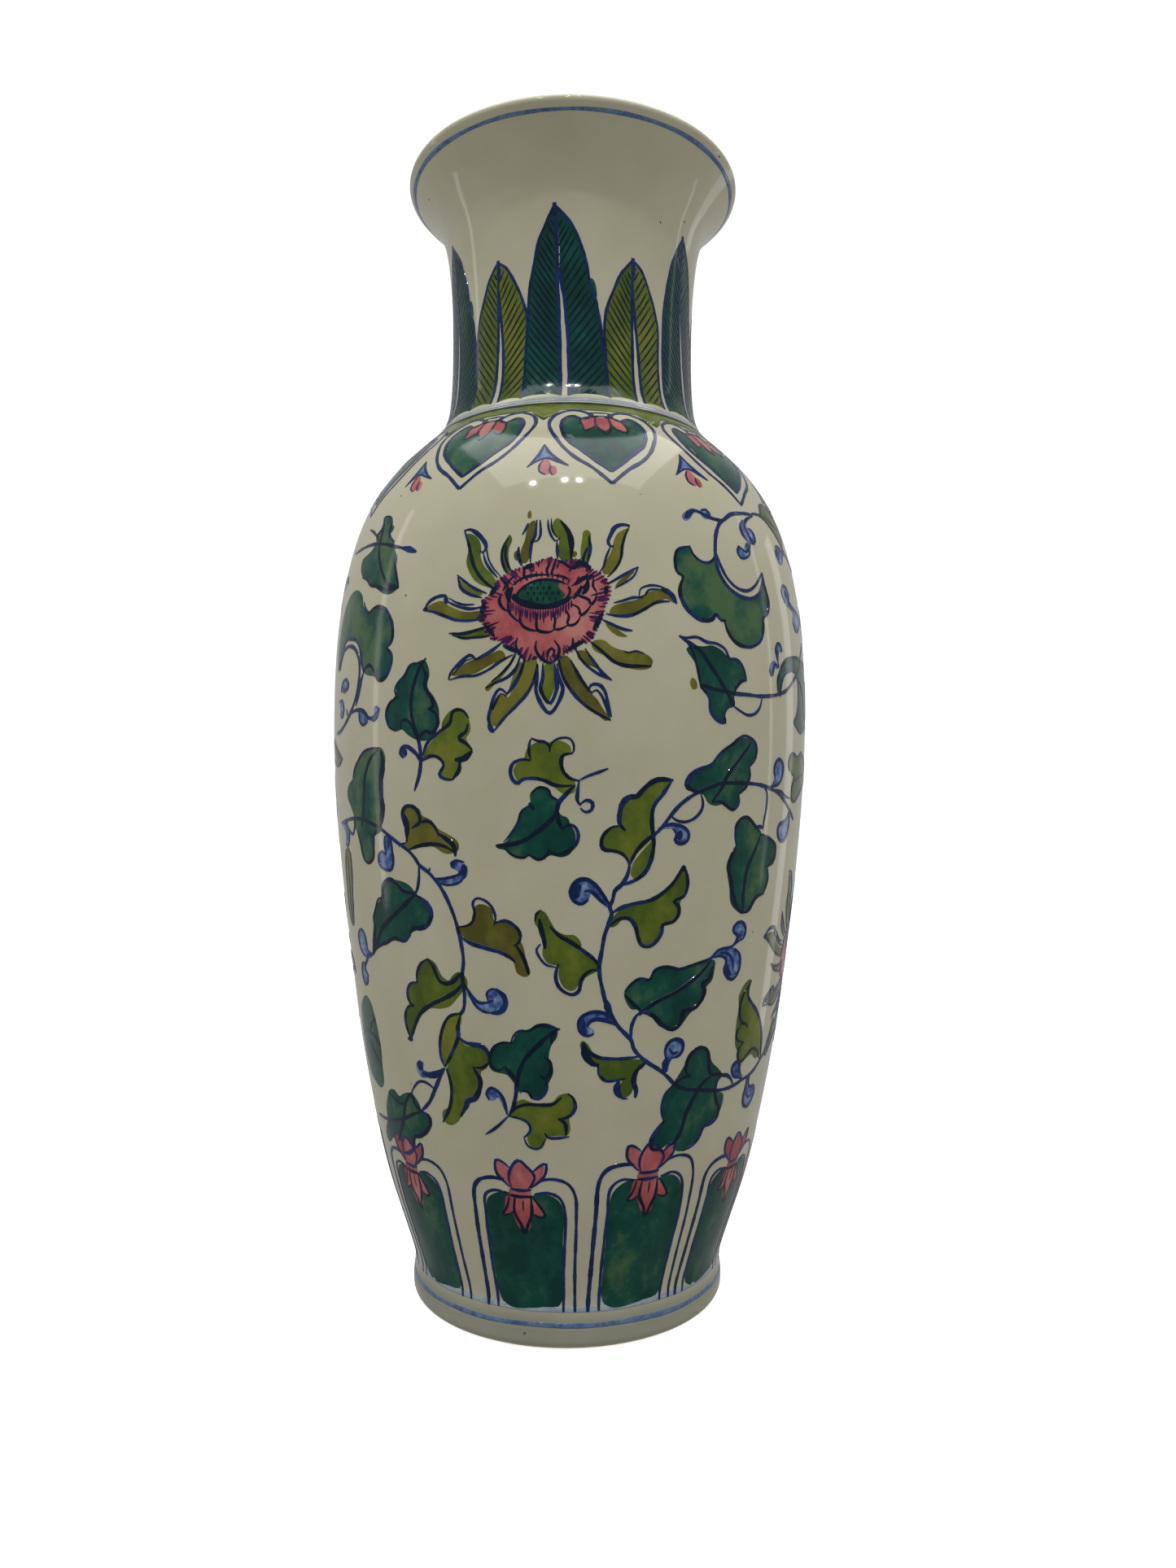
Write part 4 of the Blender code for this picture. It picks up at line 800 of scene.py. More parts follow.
           (30, 160.3), (33.2, 161.5), (36.8, 161.7), (40.5, 161.7), (44.1, 161.5),
           (47.7, 160.9), (50.9, 160), (53.6, 159), (56.8, 157), (60, 154.7), (64, 151.4)),
     "blunt"),
    (0.8, ((20.9, 152.7), (22.5, 151.3), (24.5, 150.9), (26.8, 152), (28.4, 154.3),
           (28.6, 156.3), (27.9, 158.8))),
    (0.9, ((18.4, 149.2), (21, 150.2), (23.5, 149.8), (25.3, 148.3), (25.4, 146.3), (23.8, 145),
           (22.3, 145.8), (22.6, 147.6), (21.6, 149.1))),
    (1.6, ((23.4, 148.6), (23.3, 146))),
    (1.0, ((49.6, 161), (51.6, 161.2), (53.6, 162.2), (55, 164.6), (55, 167.4), (53.2, 169),
           (51.4, 168), (50.8, 165.8), (51.4, 163.4))),
    (0.8, ((50.9, 160.1), (54.5, 159.7), (57.3, 158.3), (60.6, 157.6))),
    (1.0, ((60, 153.6), (58.8, 151.4), (56.5, 150.4), (54.7, 149.8), (54.2, 148), (55, 146),
           (57, 145), (59, 145.8), (60.4, 148), (60.8, 151), (60.2, 154))),
    (0.8, ((46.8, 160.9), (48.2, 159.3), (48.4, 155.3), (47.7, 151.3), (47.5, 148.7))),
    (1.0, ((45.2, 149.6), (47.6, 149.2))),
    (0.9, ((38.6, 144), (38.1, 147.3), (38.2, 150), (39.8, 151.9), (41.8, 152), (44.5, 149.7),
           (46.8, 147.7))),
    (1.3, ((38.6, 143.7), (37.3, 141.3), (36.6, 138), (37.7, 134.7), (38.6, 130.7), (40, 127.3),
           (42.3, 125))),
    (1.3, ((42.3, 125), (44.5, 125.7), (46.8, 129), (48.6, 129.7), (50.2, 130))),
    (0.8, ((50.2, 130.3), (51.4, 134), (50.9, 137.3))),
    (1.0, ((49.5, 137.7), (52.3, 139.3), (53.9, 141.3), (53.6, 144), (50.9, 145.7),
           (47.3, 147.3))),
    (1.2, ((46.8, 147.3), (45, 142.7), (42.8, 138), (42.3, 134), (42.1, 130), (42.5, 125.3))),
    # Left of the upper blossom: spear leaf and its stems.
    (1.1, ((-51.3, 239.7), (-50.6, 234.7), (-50.3, 230), (-49.3, 226.7), (-47, 222), (-44.3, 218),
           (-41.5, 216.7), (-40.2, 216.2))),
    (0.9, ((-56.5, 222.3), (-53.4, 221), (-51.5, 219), (-48.8, 218.1), (-47.5, 217.7),
           (-45.2, 216.5), (-42.5, 216.1), (-40.2, 216.1))),
    (0.8, ((-43.4, 224.7), (-42.2, 222), (-41.1, 218.7), (-40.3, 216.3))),
    (1.2, ((-43.8, 225.9), (-43.1, 224))),
    (0.8, ((-51.3, 239.7), (-48.8, 239), (-47.2, 236.7), (-47, 233.3), (-44.3, 230.3))),
    (0.9, ((-51.8, 239.5), (-50.9, 237.3), (-51.3, 235.7), (-53.4, 234))),
    (0.8, ((-58.6, 237.5), (-56.1, 236.3), (-53.8, 234.7), (-52.5, 233.7), (-51.3, 232.3))),
    (0.9, ((-67, 232.1), (-60.2, 232.1), (-55.6, 231.9), (-52, 231.5), (-47.5, 230.3),
           (-43.4, 228.7), (-39.7, 227.5))),
    (1.5, ((-41.4, 228), (-38.8, 227.1), (-36.1, 225.8))),
    # The big scroll on the left.
    (1.0, ((-53.4, 214.3), (-52.2, 212), (-50.6, 210.5), (-49.5, 211.2))),
    (1.0, ((-49.5, 211.3), (-47.5, 211.8), (-44.3, 210.7), (-42, 207.7), (-41, 204),
           (-41.3, 200.7), (-42.9, 199.2))),
    (1.1, ((-42.9, 199.2), (-41.5, 198), (-40.9, 196.3), (-41.5, 193.3), (-42.9, 191),
           (-45.2, 190.5), (-46.5, 192.3), (-48.4, 195), (-50.2, 194.7), (-51.3, 193.3))),
    (1.0, ((-68, 196.5), (-64.7, 201.7), (-62, 204.3), (-58.4, 204.2), (-55.2, 203),
           (-53.4, 200.3), (-52.5, 196.7), (-51.3, 193.3))),
    (1.1, ((-66.6, 196), (-64.3, 200.7), (-62, 202), (-58.4, 202), (-55.2, 200), (-53.4, 196),
           (-53.4, 191.3), (-55, 186), (-57.9, 182), (-61.5, 179), (-65.2, 177.3), (-69, 176.9)),
     "blunt"),
    (1.3, ((-51.3, 193.3), (-52.5, 190.7), (-53.4, 187.3), (-54.7, 184))),
    (0.9, ((-64.8, 189), (-63.4, 191.8), (-60.5, 192.4), (-59.1, 190.6), (-60.6, 189.2),
           (-62.4, 190))),
    (0.9, ((-66.4, 186.4), (-63.6, 186.3), (-62.2, 183.7), (-63.5, 181.2), (-65, 182.6))),
    (1.1, ((-57.9, 182), (-54.3, 182.7), (-51.1, 182.1), (-48.8, 180), (-47, 179.7),
           (-45.6, 181.3), (-44.7, 182.4))),
    (0.9, ((-53.2, 182.2), (-52.7, 179.5), (-51, 178.1), (-49.2, 179))),
    (1.8, ((-48.2, 179.8), (-46.4, 179.8), (-45.4, 181.6))),
    (0.8, ((-60.3, 183.6), (-59.6, 182), (-58.8, 180.8))),
    # Dark leaf left of the blossom, and the leaf under it.
    (1.1, ((-31.1, 195.2), (-32.7, 192.7), (-34, 188.7), (-34.8, 184.7), (-34.7, 180),
           (-33.8, 176), (-32.9, 173), (-32.4, 169.3), (-32.4, 166.7), (-32.9, 163.3),
           (-34.3, 159))),
    (0.7, ((-32.5, 194), (-35.2, 193.7), (-36.8, 191), (-38.8, 189), (-39.7, 186.7),
           (-38.5, 184.8))),
    (1.0, ((-38.8, 185), (-41.1, 183.7), (-42.3, 181), (-41.5, 177.3), (-39.5, 175.7))),
    (0.9, ((-37.9, 176.3), (-37.7, 178.3), (-35.6, 178.3), (-34.3, 176), (-33.1, 173.3))),
    (1.2, ((-32, 193.3), (-30.9, 190.3), (-31.3, 188), (-30.7, 186.3), (-29.5, 184.3),
           (-29.1, 182), (-30.4, 181.2))),
    (1.0, ((-30.2, 181.2), (-28.4, 180), (-27.9, 177.3), (-29.3, 174.7), (-31.1, 175.3),
           (-32.9, 173.3))),
    (0.9, ((-31.9, 168.6), (-30.6, 172), (-27.5, 175), (-25, 177.3), (-24.5, 180),
           (-23.4, 180.8), (-21.8, 180.2), (-20.8, 178.4))),
    (1.0, ((-21, 177), (-21.3, 175), (-23, 173.2), (-21.4, 171.7), (-20, 169.8))),
    (1.5, ((-20, 169.6), (-21.8, 167.7), (-24, 167.3))),
    (1.2, ((-22.9, 167), (-23, 164.7), (-24.5, 162.2))),
    (0.9, ((-24.2, 162.2), (-25.6, 162), (-27.7, 163.3), (-26.6, 166), (-27.5, 167.7),
           (-29.3, 168.5), (-31.2, 167.8), (-32.7, 166.7))),
    (1.2, ((-32.4, 166.7), (-33.4, 169), (-34.7, 170.3), (-36.1, 171.3), (-37.5, 171),
           (-38.1, 169.3), (-37.2, 168.2))),
    (2.0, ((-36.4, 170.4), (-37.2, 169.2))),
    # Dark leaf at the far left with its stem, and the curls on it.
    (1.2, ((-45.6, 171), (-48.8, 167.7), (-51.1, 162.7), (-51.8, 158), (-52.5, 153.3),
           (-53.8, 148.7))),
    (1.8, ((-44.3, 170.7), (-43.8, 166.7), (-44.7, 162), (-44.7, 157.3), (-44.5, 154),
           (-45.6, 149))),
    (0.7, ((-45.2, 171.3), (-47.9, 171.2), (-51.1, 170.4), (-53.8, 168), (-56.1, 165.3),
           (-57, 163))),
    (1.0, ((-68, 149.5), (-63.4, 150.3), (-59.3, 151), (-53.4, 151), (-49.7, 150), (-45.6, 148.3),
           (-43.4, 147), (-40.2, 144.7), (-37.5, 143), (-35.2, 140.7), (-34, 138.7),
           (-31.5, 136.7), (-29.3, 134), (-27.5, 130.7), (-25.6, 125.3), (-24.7, 121.3),
           (-24.1, 117.3), (-23.8, 112.7), (-24.3, 108.7), (-24, 103.3), (-24.5, 99.3),
           (-25.6, 97.7)), "blunt"),
    (0.9, ((-62.9, 149.7), (-61.1, 147.3), (-58.8, 146.5), (-57.5, 149.3), (-57.6, 151))),
    (0.8, ((-56.1, 147.3), (-54.7, 143.3), (-53.8, 139.7), (-51.5, 138.3), (-49.3, 140),
           (-48.8, 143.3), (-48.6, 146), (-50.6, 147))),
    (0.9, ((-48.5, 146.2), (-47.3, 148))),
    (1.0, ((-34, 138.7), (-34.3, 134.7), (-35.2, 131.3), (-36.1, 130.3))),
    (0.7, ((-31.5, 136.6), (-31, 138))),
    (0.8, ((-43.9, 146.8), (-42.3, 145.3), (-42, 142), (-41.8, 139.5), (-42.7, 137),
           (-45, 136.8), (-47, 138.3), (-47, 140.7), (-45.5, 142), (-44.3, 141))),
    (0.9, ((-44.3, 146.4), (-44.5, 143.6), (-44.1, 141))),
    (0.8, ((-30.2, 134.9), (-27.5, 135.2), (-24.7, 136), (-23.4, 136.9))),
    (0.7, ((-29.7, 134), (-26.1, 133.5), (-23.8, 134.3), (-22.4, 136))),
    (2.2, ((-22.6, 139.2), (-22.6, 137.4), (-23.4, 136.6))),
    (0.7, ((-22.4, 139.8), (-24.4, 140.2), (-25.8, 139.2), (-25, 138.2))),
    (1.1, ((-37.2, 144.7), (-37, 148), (-38.1, 152.7), (-37, 154.7), (-34.3, 154.3),
           (-33.1, 150.7), (-35.4, 148.8))),
    (1.8, ((-37.6, 152.6), (-36.9, 149.4), (-37.1, 146))),
    (1.0, ((-33.6, 150.3), (-30.6, 150.7), (-28.8, 148.3), (-28.4, 146.7))),
    (1.4, ((-28.6, 147.5), (-26.5, 146), (-24.7, 144), (-24.5, 141.3))),
    (1.0, ((-36.8, 142.7), (-33.4, 144), (-29.7, 144.5), (-27, 144), (-25, 142.7))),
    (0.8, ((-39.7, 143.7), (-37.5, 144.6))),
    (1.1, ((-46.3, 128.7), (-46.8, 130), (-45.9, 132.7), (-43.8, 134.2), (-41.5, 133.3),
           (-39.3, 131.3), (-35.6, 130.5))),
    (0.6, ((-51.6, 122.6), (-49.7, 126.4), (-48.4, 128.3), (-46.3, 128.6))),
    (1.3, ((-35.6, 130.5), (-39.7, 126.7), (-44.3, 123), (-47.9, 120), (-50.6, 116),
           (-52.9, 112.3))),
    (1.3, ((-35.6, 130.3), (-32.5, 128), (-31.4, 125.7), (-32.5, 122.3), (-35.2, 121),
           (-37, 121), (-38, 119.3))),
    (1.0, ((-37.9, 119), (-40.2, 116.9), (-43.8, 117.3), (-47, 115.7), (-51.5, 113.7),
           (-53.8, 111.3))),
    (1.6, ((-51.3, 120.7), (-52.5, 115.3), (-53.8, 111.7))),
    (1.2, ((-53.8, 111.5), (-56.5, 110.8), (-57.9, 109), (-59.7, 106.7), (-58.4, 104.8))),
    (0.8, ((-56.6, 112.4), (-57, 115.5), (-58.3, 117.8), (-60.2, 118), (-62, 116), (-61.7, 113),
           (-59.8, 110.8), (-57.4, 110))),
    (0.8, ((-59, 108.2), (-61.5, 107.5), (-62.3, 104.5), (-61, 101.5), (-58.8, 102.5),
           (-58, 105))),
    # Yellow leaf at the left of the circle, and the ones under it.
    (0.8, ((-37.2, 105.3), (-37, 108), (-35.6, 111), (-33.4, 112.6))),
    (1.1, ((-33.4, 112.6), (-32, 110.7), (-30.6, 107), (-28.8, 106.1), (-27, 106.7),
           (-24.3, 109.7))),
    (0.9, ((-37, 105.6), (-39.3, 105), (-40.6, 103), (-40.5, 100), (-39, 98.8))),
    (0.9, ((-38.8, 98.7), (-41.1, 98), (-42.4, 94.7), (-41.8, 90.7), (-40.9, 89))),
    (1.1, ((-41.1, 88.7), (-39.3, 92.7), (-37, 96.7), (-33.4, 99.7), (-29.3, 102),
           (-26.1, 104.3), (-24, 106.9))),
    (1.1, ((-42.2, 88.8), (-40.4, 88.7))),
    (0.9, ((-25.6, 98), (-28.4, 97), (-30.6, 93.3), (-31.8, 88), (-31.5, 84), (-30.6, 82.3))),
    (1.1, ((-25.4, 97.7), (-26.3, 94), (-26.3, 91.7), (-28.4, 86.7), (-30.6, 82.7))),
    (1.2, ((-26.3, 91.5), (-24.5, 90.1), (-22.5, 89.7), (-20.5, 89.6), (-19, 88),
           (-18.4, 85.7))),
    (0.8, ((-18.7, 85), (-20.5, 83.5), (-23, 83.3))),
    (1.4, ((-22.8, 83), (-21.3, 80), (-21.6, 77.3), (-23.2, 74.3), (-25, 73.5), (-25.6, 72),
           (-27.5, 68.7))),
    (1.0, ((-30.4, 82), (-29.5, 78), (-29.7, 74), (-30.6, 70.7), (-33.3, 66))),
    (1.7, ((-31, 81.9), (-33.4, 80), (-36, 79.2), (-38.4, 79.4))),
    (1.8, ((-38.8, 80.2), (-38.9, 82), (-37.9, 82.4))),
    (1.1, ((-30.9, 82), (-32.9, 78.7), (-34.7, 75.3), (-37, 71.3), (-40.6, 67.7))),
    (0.8, ((-34.7, 75.3), (-37, 76.7), (-39.7, 76.7), (-42, 74.7), (-43.4, 72.7))),
    # Dark leaf over the left panels, and the one at the far left.
    (1.0, ((-68, 60.1), (-60.2, 60.7), (-54.3, 62), (-48.8, 63.7), (-44.3, 66), (-40.6, 67.7))),
    (1.1, ((-43.4, 72.7), (-46.5, 69.3), (-48.8, 64), (-52, 58.7), (-54.5, 55.3))),
    (1.3, ((-43.6, 72.7), (-42.5, 69.3), (-40.6, 67.7))),
    (0.8, ((-55, 70), (-52, 69), (-49.3, 68), (-46.5, 69.3))),
    (1.2, ((-40.6, 67.7), (-37.9, 66.7), (-37.9, 64.3), (-39.7, 62), (-42.5, 60), (-45.2, 59),
           (-46.5, 55.3), (-49.7, 53), (-52.9, 52.4))),
    (1.0, ((-55.8, 84), (-58.6, 86), (-62, 87), (-66, 86.4), (-70, 84.4))),
    (0.9, ((-57.2, 92), (-60, 89.6), (-62, 87))),
    (0.9, ((-56.6, 77.6), (-60, 80.4), (-62.4, 84.4))),
    # Towards the vase's two sides.
    (1.0, ((53, 187.3), (53.6, 190.7), (55, 193.7), (57.3, 195.3), (60, 196), (63, 195.3),
           (64.6, 193), (64.8, 190), (64.3, 185.5), (63, 182.5), (61.3, 180.4), (63.5, 179),
           (66, 178), (70, 178.6), (73.4, 180.6), (76, 184.6), (77, 190), (76.4, 195))),
    (1.0, ((51.8, 188.7), (51.9, 192), (53, 194.7), (55, 197.5), (57.7, 199), (61, 200),
           (65, 200.4), (70, 200.2), (74, 198.6))),
    (1.1, ((66, 193.6), (69, 190.6), (71, 186.6), (71.6, 182.4))),
    (1.0, ((50, 241.4), (55, 241.8), (59.4, 239.5), (64.7, 235.5), (67.2, 233.2), (70.6, 231.4),
           (76, 230.4), (80, 231.4)), "blunt"),
    (1.0, ((55, 242.4), (56.6, 245.4), (60.4, 247), (64.6, 246), (68, 242.4), (68.2, 238),
           (66, 235.4))),
    (0.8, ((57.4, 242.4), (61, 241.8), (65.6, 240.6))),
    (0.9, ((58.2, 230), (58.8, 233), (61, 234), (64, 233.4), (70, 232.4))),
    (1.8, ((59.4, 229.4), (59.6, 231.6), (61.2, 232.6))),
    (0.9, ((58.6, 216), (57.4, 219), (58.6, 221.2), (61, 221.2), (62.1, 219.5), (61.6, 217.5),
           (63.5, 216), (68, 215.2), (72, 213.5), (78, 212.6))),
    (1.9, ((59.4, 220), (60.6, 218.4))),
    (0.9, ((72, 213), (68.5, 210), (66, 208.7), (64, 209.4), (63, 211.4))),
    (1.0, ((79.6, 165.6), (76, 168.6), (72, 170.6), (68, 171.6), (65, 170.2), (61, 171),
           (59, 170), (58.2, 167.6), (58.8, 166))),
    (1.0, ((60.5, 165), (62.5, 164.4), (61.2, 160.6), (61.5, 157.6), (64, 156.8), (68, 159),
           (73, 161.5), (79.4, 165.2))),
    (1.0, ((79.6, 165.4), (74, 165.4), (68, 164.6), (63.6, 163))),
    (0.8, ((79.4, 165.4), (84, 166.6), (88.4, 169.6))),
    (1.6, ((63, 80), (65.6, 82.6), (66.6, 85))),
    (0.9, ((-69.4, 225.4), (-72, 226), (-75, 225.2), (-77.4, 223.4), (-80, 220), (-81, 215))),
    (1.6, ((-68.6, 223.6), (-70.6, 224.8))),
    (0.9, ((-63.8, 169), (-68, 170.6), (-72, 173.4), (-76.4, 175), (-80, 175))),
    (0.9, ((-63.8, 169), (-67, 167.2), (-71, 167.4), (-75, 169.4))),
    (0.9, ((-67.4, 149.4), (-64, 149.4), (-62, 148), (-61.6, 145.6), (-63, 143), (-65, 143.2))),
    (1.0, ((-64, 142.6), (-62.2, 140.6), (-61.9, 136), (-63, 130), (-64, 124), (-65.5, 118.8),
           (-67.6, 120), (-68.6, 124), (-68, 130), (-67.2, 137), (-65.6, 141.6))),
    (0.9, ((-64.2, 140), (-65, 132), (-65.8, 124), (-65.6, 119.4))),
    (0.9, ((80, 231.4), (85, 236), (90, 238.6), (95, 236), (98.4, 228), (99, 218))),
    (0.9, ((88, 169.4), (92, 172.4), (96, 172), (100, 175))),
)  # fmt: skip


# ---------------------------------------------------------------------------------------------
# Materials
# ---------------------------------------------------------------------------------------------


def paint(red, green, blue):
    """A linear colour from the 0-255 values that a screen shows."""
    values = [v / 255 for v in (red, green, blue)]
    linear = [v / 12.92 if v <= 0.04045 else ((v + 0.055) / 1.055) ** 2.4 for v in values]
    return (*linear, 1.0)


BLACK, WHITE = (0.0, 0.0, 0.0, 1.0), (1.0, 1.0, 1.0, 1.0)
MIX_A, MIX_B, MIX_RESULT = 6, 7, 2  # the colour sockets of a Mix node


def feed(tree, socket, value):
    """Links an output to a socket, or sets the socket to a number or a colour."""
    if isinstance(value, bpy.types.NodeSocket):
        tree.links.new(value, socket)
    else:
        socket.default_value = value


def math_node(tree, operation, a, b):
    """The output of a math node on two outputs or numbers."""
    node = tree.nodes.new("ShaderNodeMath")
    node.operation = operation
    for socket, value in zip(node.inputs, (a, b)):
        feed(tree, socket, value)
    return node.outputs["Value"]


class Surface:
    """A procedural gloss material: a colour ramp driven by a sum of noises and attributes."""

    def __init__(self, name, roughness, specular=0.5):
        self.material = bpy.data.materials.new(name)
        self.material.use_nodes = True
        self.tree = self.material.node_tree
        self.shader = self.tree.nodes["Principled BSDF"]
        self.shader.inputs["Roughness"].default_value = roughness
        self.shader.inputs["Specular IOR Level"].default_value = specular
        self.place = self.tree.nodes.new("ShaderNodeTexCoord").outputs["Object"]

    def noise(self, scale, detail=3.0, stretch=None):
        place = self.place
        if stretch:
            mapping = self.tree.nodes.new("ShaderNodeMapping")
            mapping.inputs["Scale"].default_value = stretch
            self.tree.links.new(place, mapping.inputs["Vector"])
            place = mapping.outputs["Vector"]
        node = self.tree.nodes.new("ShaderNodeTexNoise")
        node.inputs["Scale"].default_value = scale
        node.inputs["Detail"].default_value = detail
        self.tree.links.new(place, node.inputs["Vector"])
        return node.outputs["Fac"]

    def attribute(self, name):
        node = self.tree.nodes.new("ShaderNodeAttribute")
        node.attribute_name = name
        return node.outputs["Fac"]

    def combine(self, operation, a, b):
        return math_node(self.tree, operation, a, b)

    def total(self, *terms):
        """The sum of (weight, output) terms."""
        result = None
        for weight, output in terms:
            part = self.combine("MULTIPLY", output, weight)
            result = part if result is None else self.combine("ADD", result, part)
        return result

    def ramp(self, value, *stops):
        node = self.tree.nodes.new("ShaderNodeValToRGB")
        elements = node.color_ramp.elements
        while len(elements) < len(stops):
            elements.new(0.5)
        for element, (place, colour) in zip(elements, stops):
            element.position = place
            element.color = colour
        self.tree.links.new(value, node.inputs["Fac"])
        return node.outputs["Color"]

    def mix(self, factor, a, b):
        node = self.tree.nodes.new("ShaderNodeMix")
        node.data_type = "RGBA"
        self.tree.links.new(factor, node.inputs["Factor"])
        feed(self.tree, node.inputs[MIX_A], a)
        feed(self.tree, node.inputs[MIX_B], b)
        return node.outputs[MIX_RESULT]

    def finish(self, colour, height=None, depth=0.0, strength=0.0):
        """Sets the colour, and a bump from a height, a depth in metres and a strength."""
        self.tree.links.new(colour, self.shader.inputs["Base Color"])
        if height is not None:
            bump = self.tree.nodes.new("ShaderNodeBump")
            bump.inputs["Strength"].default_value = strength
            bump.inputs["Distance"].default_value = depth
            self.tree.links.new(height, bump.inputs["Height"])
            self.tree.links.new(bump.outputs["Normal"], self.shader.inputs["Normal"])
        return self.material


# Painted shade where the vase stands on the floor: below these heights the glaze colour turns darker
# grey.
SHADE_BELOW = (0.0085, 0.0125)  # metres: all grey at the first, none at the second
SPECK_CELLS = 110.0
ENAMEL_DEPTH = -0.44  # brings the sum of an enamel's terms to the middle of its ramp


def glaze_material():
    """Thick greyish white glaze, turned darker grey at the foot as painted shade: faint clouding, a
    few tiny iron specks.
    """
    dull, fresh = paint(194, 190, 160), paint(205, 201, 174)
    s = Surface("glazed_porcelain_look", 0.07)
    cloud = s.total((0.35, s.noise(16)), (0.35, s.noise(70)), (0.3, s.noise(26, 3.0, (1, 1, 0.12))))
    split = s.tree.nodes.new("ShaderNodeSeparateXYZ")
    s.tree.links.new(s.place, split.inputs["Vector"])
    # Mask of the painted shade at the foot: 1 below the first height, 0 above the second.
    low = s.tree.nodes.new("ShaderNodeMapRange")
    low.inputs["From Min"].default_value, low.inputs["From Max"].default_value = SHADE_BELOW
    low.inputs["To Min"].default_value, low.inputs["To Max"].default_value = 1.0, 0.0
    s.tree.links.new(split.outputs["Z"], low.inputs["Value"])
    body = s.ramp(cloud, (0.36, dull), (0.64, fresh))
    # Painted shade: the darker grey that the glaze colour turns to near the foot, standing in for
    # the floor's shade.
    painted_foot_shade = s.ramp(cloud, (0.3, paint(148, 150, 134)), (0.7, paint(170, 168, 148)))
    body = s.mix(low.outputs["Result"], body, painted_foot_shade)
    cells = s.tree.nodes.new("ShaderNodeTexVoronoi")
    cells.inputs["Scale"].default_value = SPECK_CELLS
    s.tree.links.new(s.place, cells.inputs["Vector"])
    near = s.ramp(cells.outputs["Distance"], (0.03, WHITE), (0.052, BLACK))
    rare = s.ramp(cells.outputs["Color"], (0.48, BLACK), (0.5, WHITE))
    speck = s.combine("MULTIPLY", near, rare)
    colour = s.mix(speck, body, paint(84, 74, 58))
    return s.finish(colour, s.noise(38, 1.0), 0.0004, 0.05)


def biscuit_material():
    """Bare fired clay on the foot's bearing ring."""
    s = Surface("bare_foot_look", 0.75, 0.3)
    grain = s.total((0.5, s.noise(60)), (0.5, s.noise(700)))
    colour = s.ramp(grain, (0.35, paint(176, 160, 136)), (0.65, paint(214, 200, 178)))
    return s.finish(colour, s.noise(900, 2.0), 0.0001, 0.5)


def enamel_material(name, deep, middle, light):
    """Brushed enamel: pools and streaks between a deep and a light colour."""
    s = Surface(name, 0.12, 0.45)
    value = s.total(
        (1.15, s.noise(110, 3.0, (1.0, 1.0, 0.6))),
        (0.35, s.noise(420)),
        (0.28, s.attribute("shade")),
        (0.1, s.attribute("inset")),
    )
    value = s.combine("ADD", value, ENAMEL_DEPTH)
    colour = s.ramp(value, (0.28, deep), (0.5, middle), (0.74, light))
    return s.finish(colour, s.noise(240, 2.0), 0.0002, 0.12)


def line_material(name, deep, light):
    """Cobalt drawn with a brush: dark where the colour pooled, paler where it ran thin."""
    s = Surface(name, 0.1)
    flow = s.total((0.6, s.noise(160)), (0.5, s.noise(900)), (0.1, s.attribute("shade")))
    colour = s.ramp(flow, (0.36, deep), (0.72, light))
    return s.finish(colour, s.noise(500, 1.0), 0.0001, 0.06)


def wash_material():
    """A thin wet wash of cobalt, streaked and dotted, with porcelain showing through."""
    s = Surface("cobalt_wash_look", 0.1)
    flow = s.total((0.7, s.noise(520, 4.0)), (0.35, s.noise(150)), (0.12, s.attribute("inset")))
    colour = s.ramp(
        flow,
        (0.4, paint(26, 46, 110)),
        (0.54, paint(76, 106, 164)),
        (0.74, paint(150, 170, 192)),
    )
    return s.finish(colour, s.noise(500, 1.0), 0.0001, 0.06)


def pod_material():
    """The mottled blue green of the seed pods."""
    s = Surface("seed_pod_look", 0.12, 0.45)
    flow = s.total((0.7, s.noise(240)), (0.4, s.noise(900)))
    colour = s.ramp(flow, (0.35, paint(0, 50, 42)), (0.7, paint(26, 94, 70)))
    return s.finish(colour, s.noise(500, 1.0), 0.0001, 0.1)


GLAZE = glaze_material()
BISCUIT = biscuit_material()
COBALT = line_material("cobalt_line_look", paint(0, 12, 56), paint(20, 52, 112))
NAVY = line_material("cobalt_under_enamel_look", paint(0, 8, 34), paint(2, 30, 60))
PLUM = line_material("cobalt_under_rose_look", paint(16, 8, 56), paint(84, 30, 84))
PALE_BLUE = line_material("pale_blue_line_look", paint(136, 152, 176), paint(180, 190, 196))
RIM_BLUE = line_material("rim_line_look", paint(46, 76, 128), paint(112, 138, 172))
LOOKS = {
    DARK: enamel_material(
        "leaf_green_look", paint(0, 62, 52), paint(8, 80, 66), paint(76, 108, 70)
    ),
    MOSS: enamel_material(
        "moss_green_look", paint(74, 94, 26), paint(98, 114, 32), paint(124, 128, 44)
    ),
    OLIVE: enamel_material(
        "olive_look", paint(86, 84, 28), paint(106, 104, 36), paint(124, 122, 46)
    ),
    ROSE: enamel_material(
        "rose_pink_look", paint(166, 70, 76), paint(188, 102, 101), paint(204, 134, 126)
    ),
    WASH: wash_material(),
    POD: pod_material(),
}

# ---------------------------------------------------------------------------------------------
# Brushwork
# ---------------------------------------------------------------------------------------------

# How far off the glaze the paint reaches, in mm, from its hidden foot up to the lines.
UNDER = -0.05
WASH_TOP = 0.05
FIELD_TOP = 0.06
HEART_TOP = 0.075
SECOND_TOP = 0.09
POD_TOP = 0.092
POD_LINE_TOP = 0.105
TICK_TOP = 0.11
PETAL_TOP = 0.114
LINE_TOP = 0.12
FIELD_EDGE_DROP = 0.02

STEP = 0.9  # between the points of a line or an outline, in mm
GRID = 2.3  # between the points inside a field, in mm
OVAL_POINTS = 10
BRUSH_LOAD = 1.22  # how much wider a stroke is than its width in the drawing
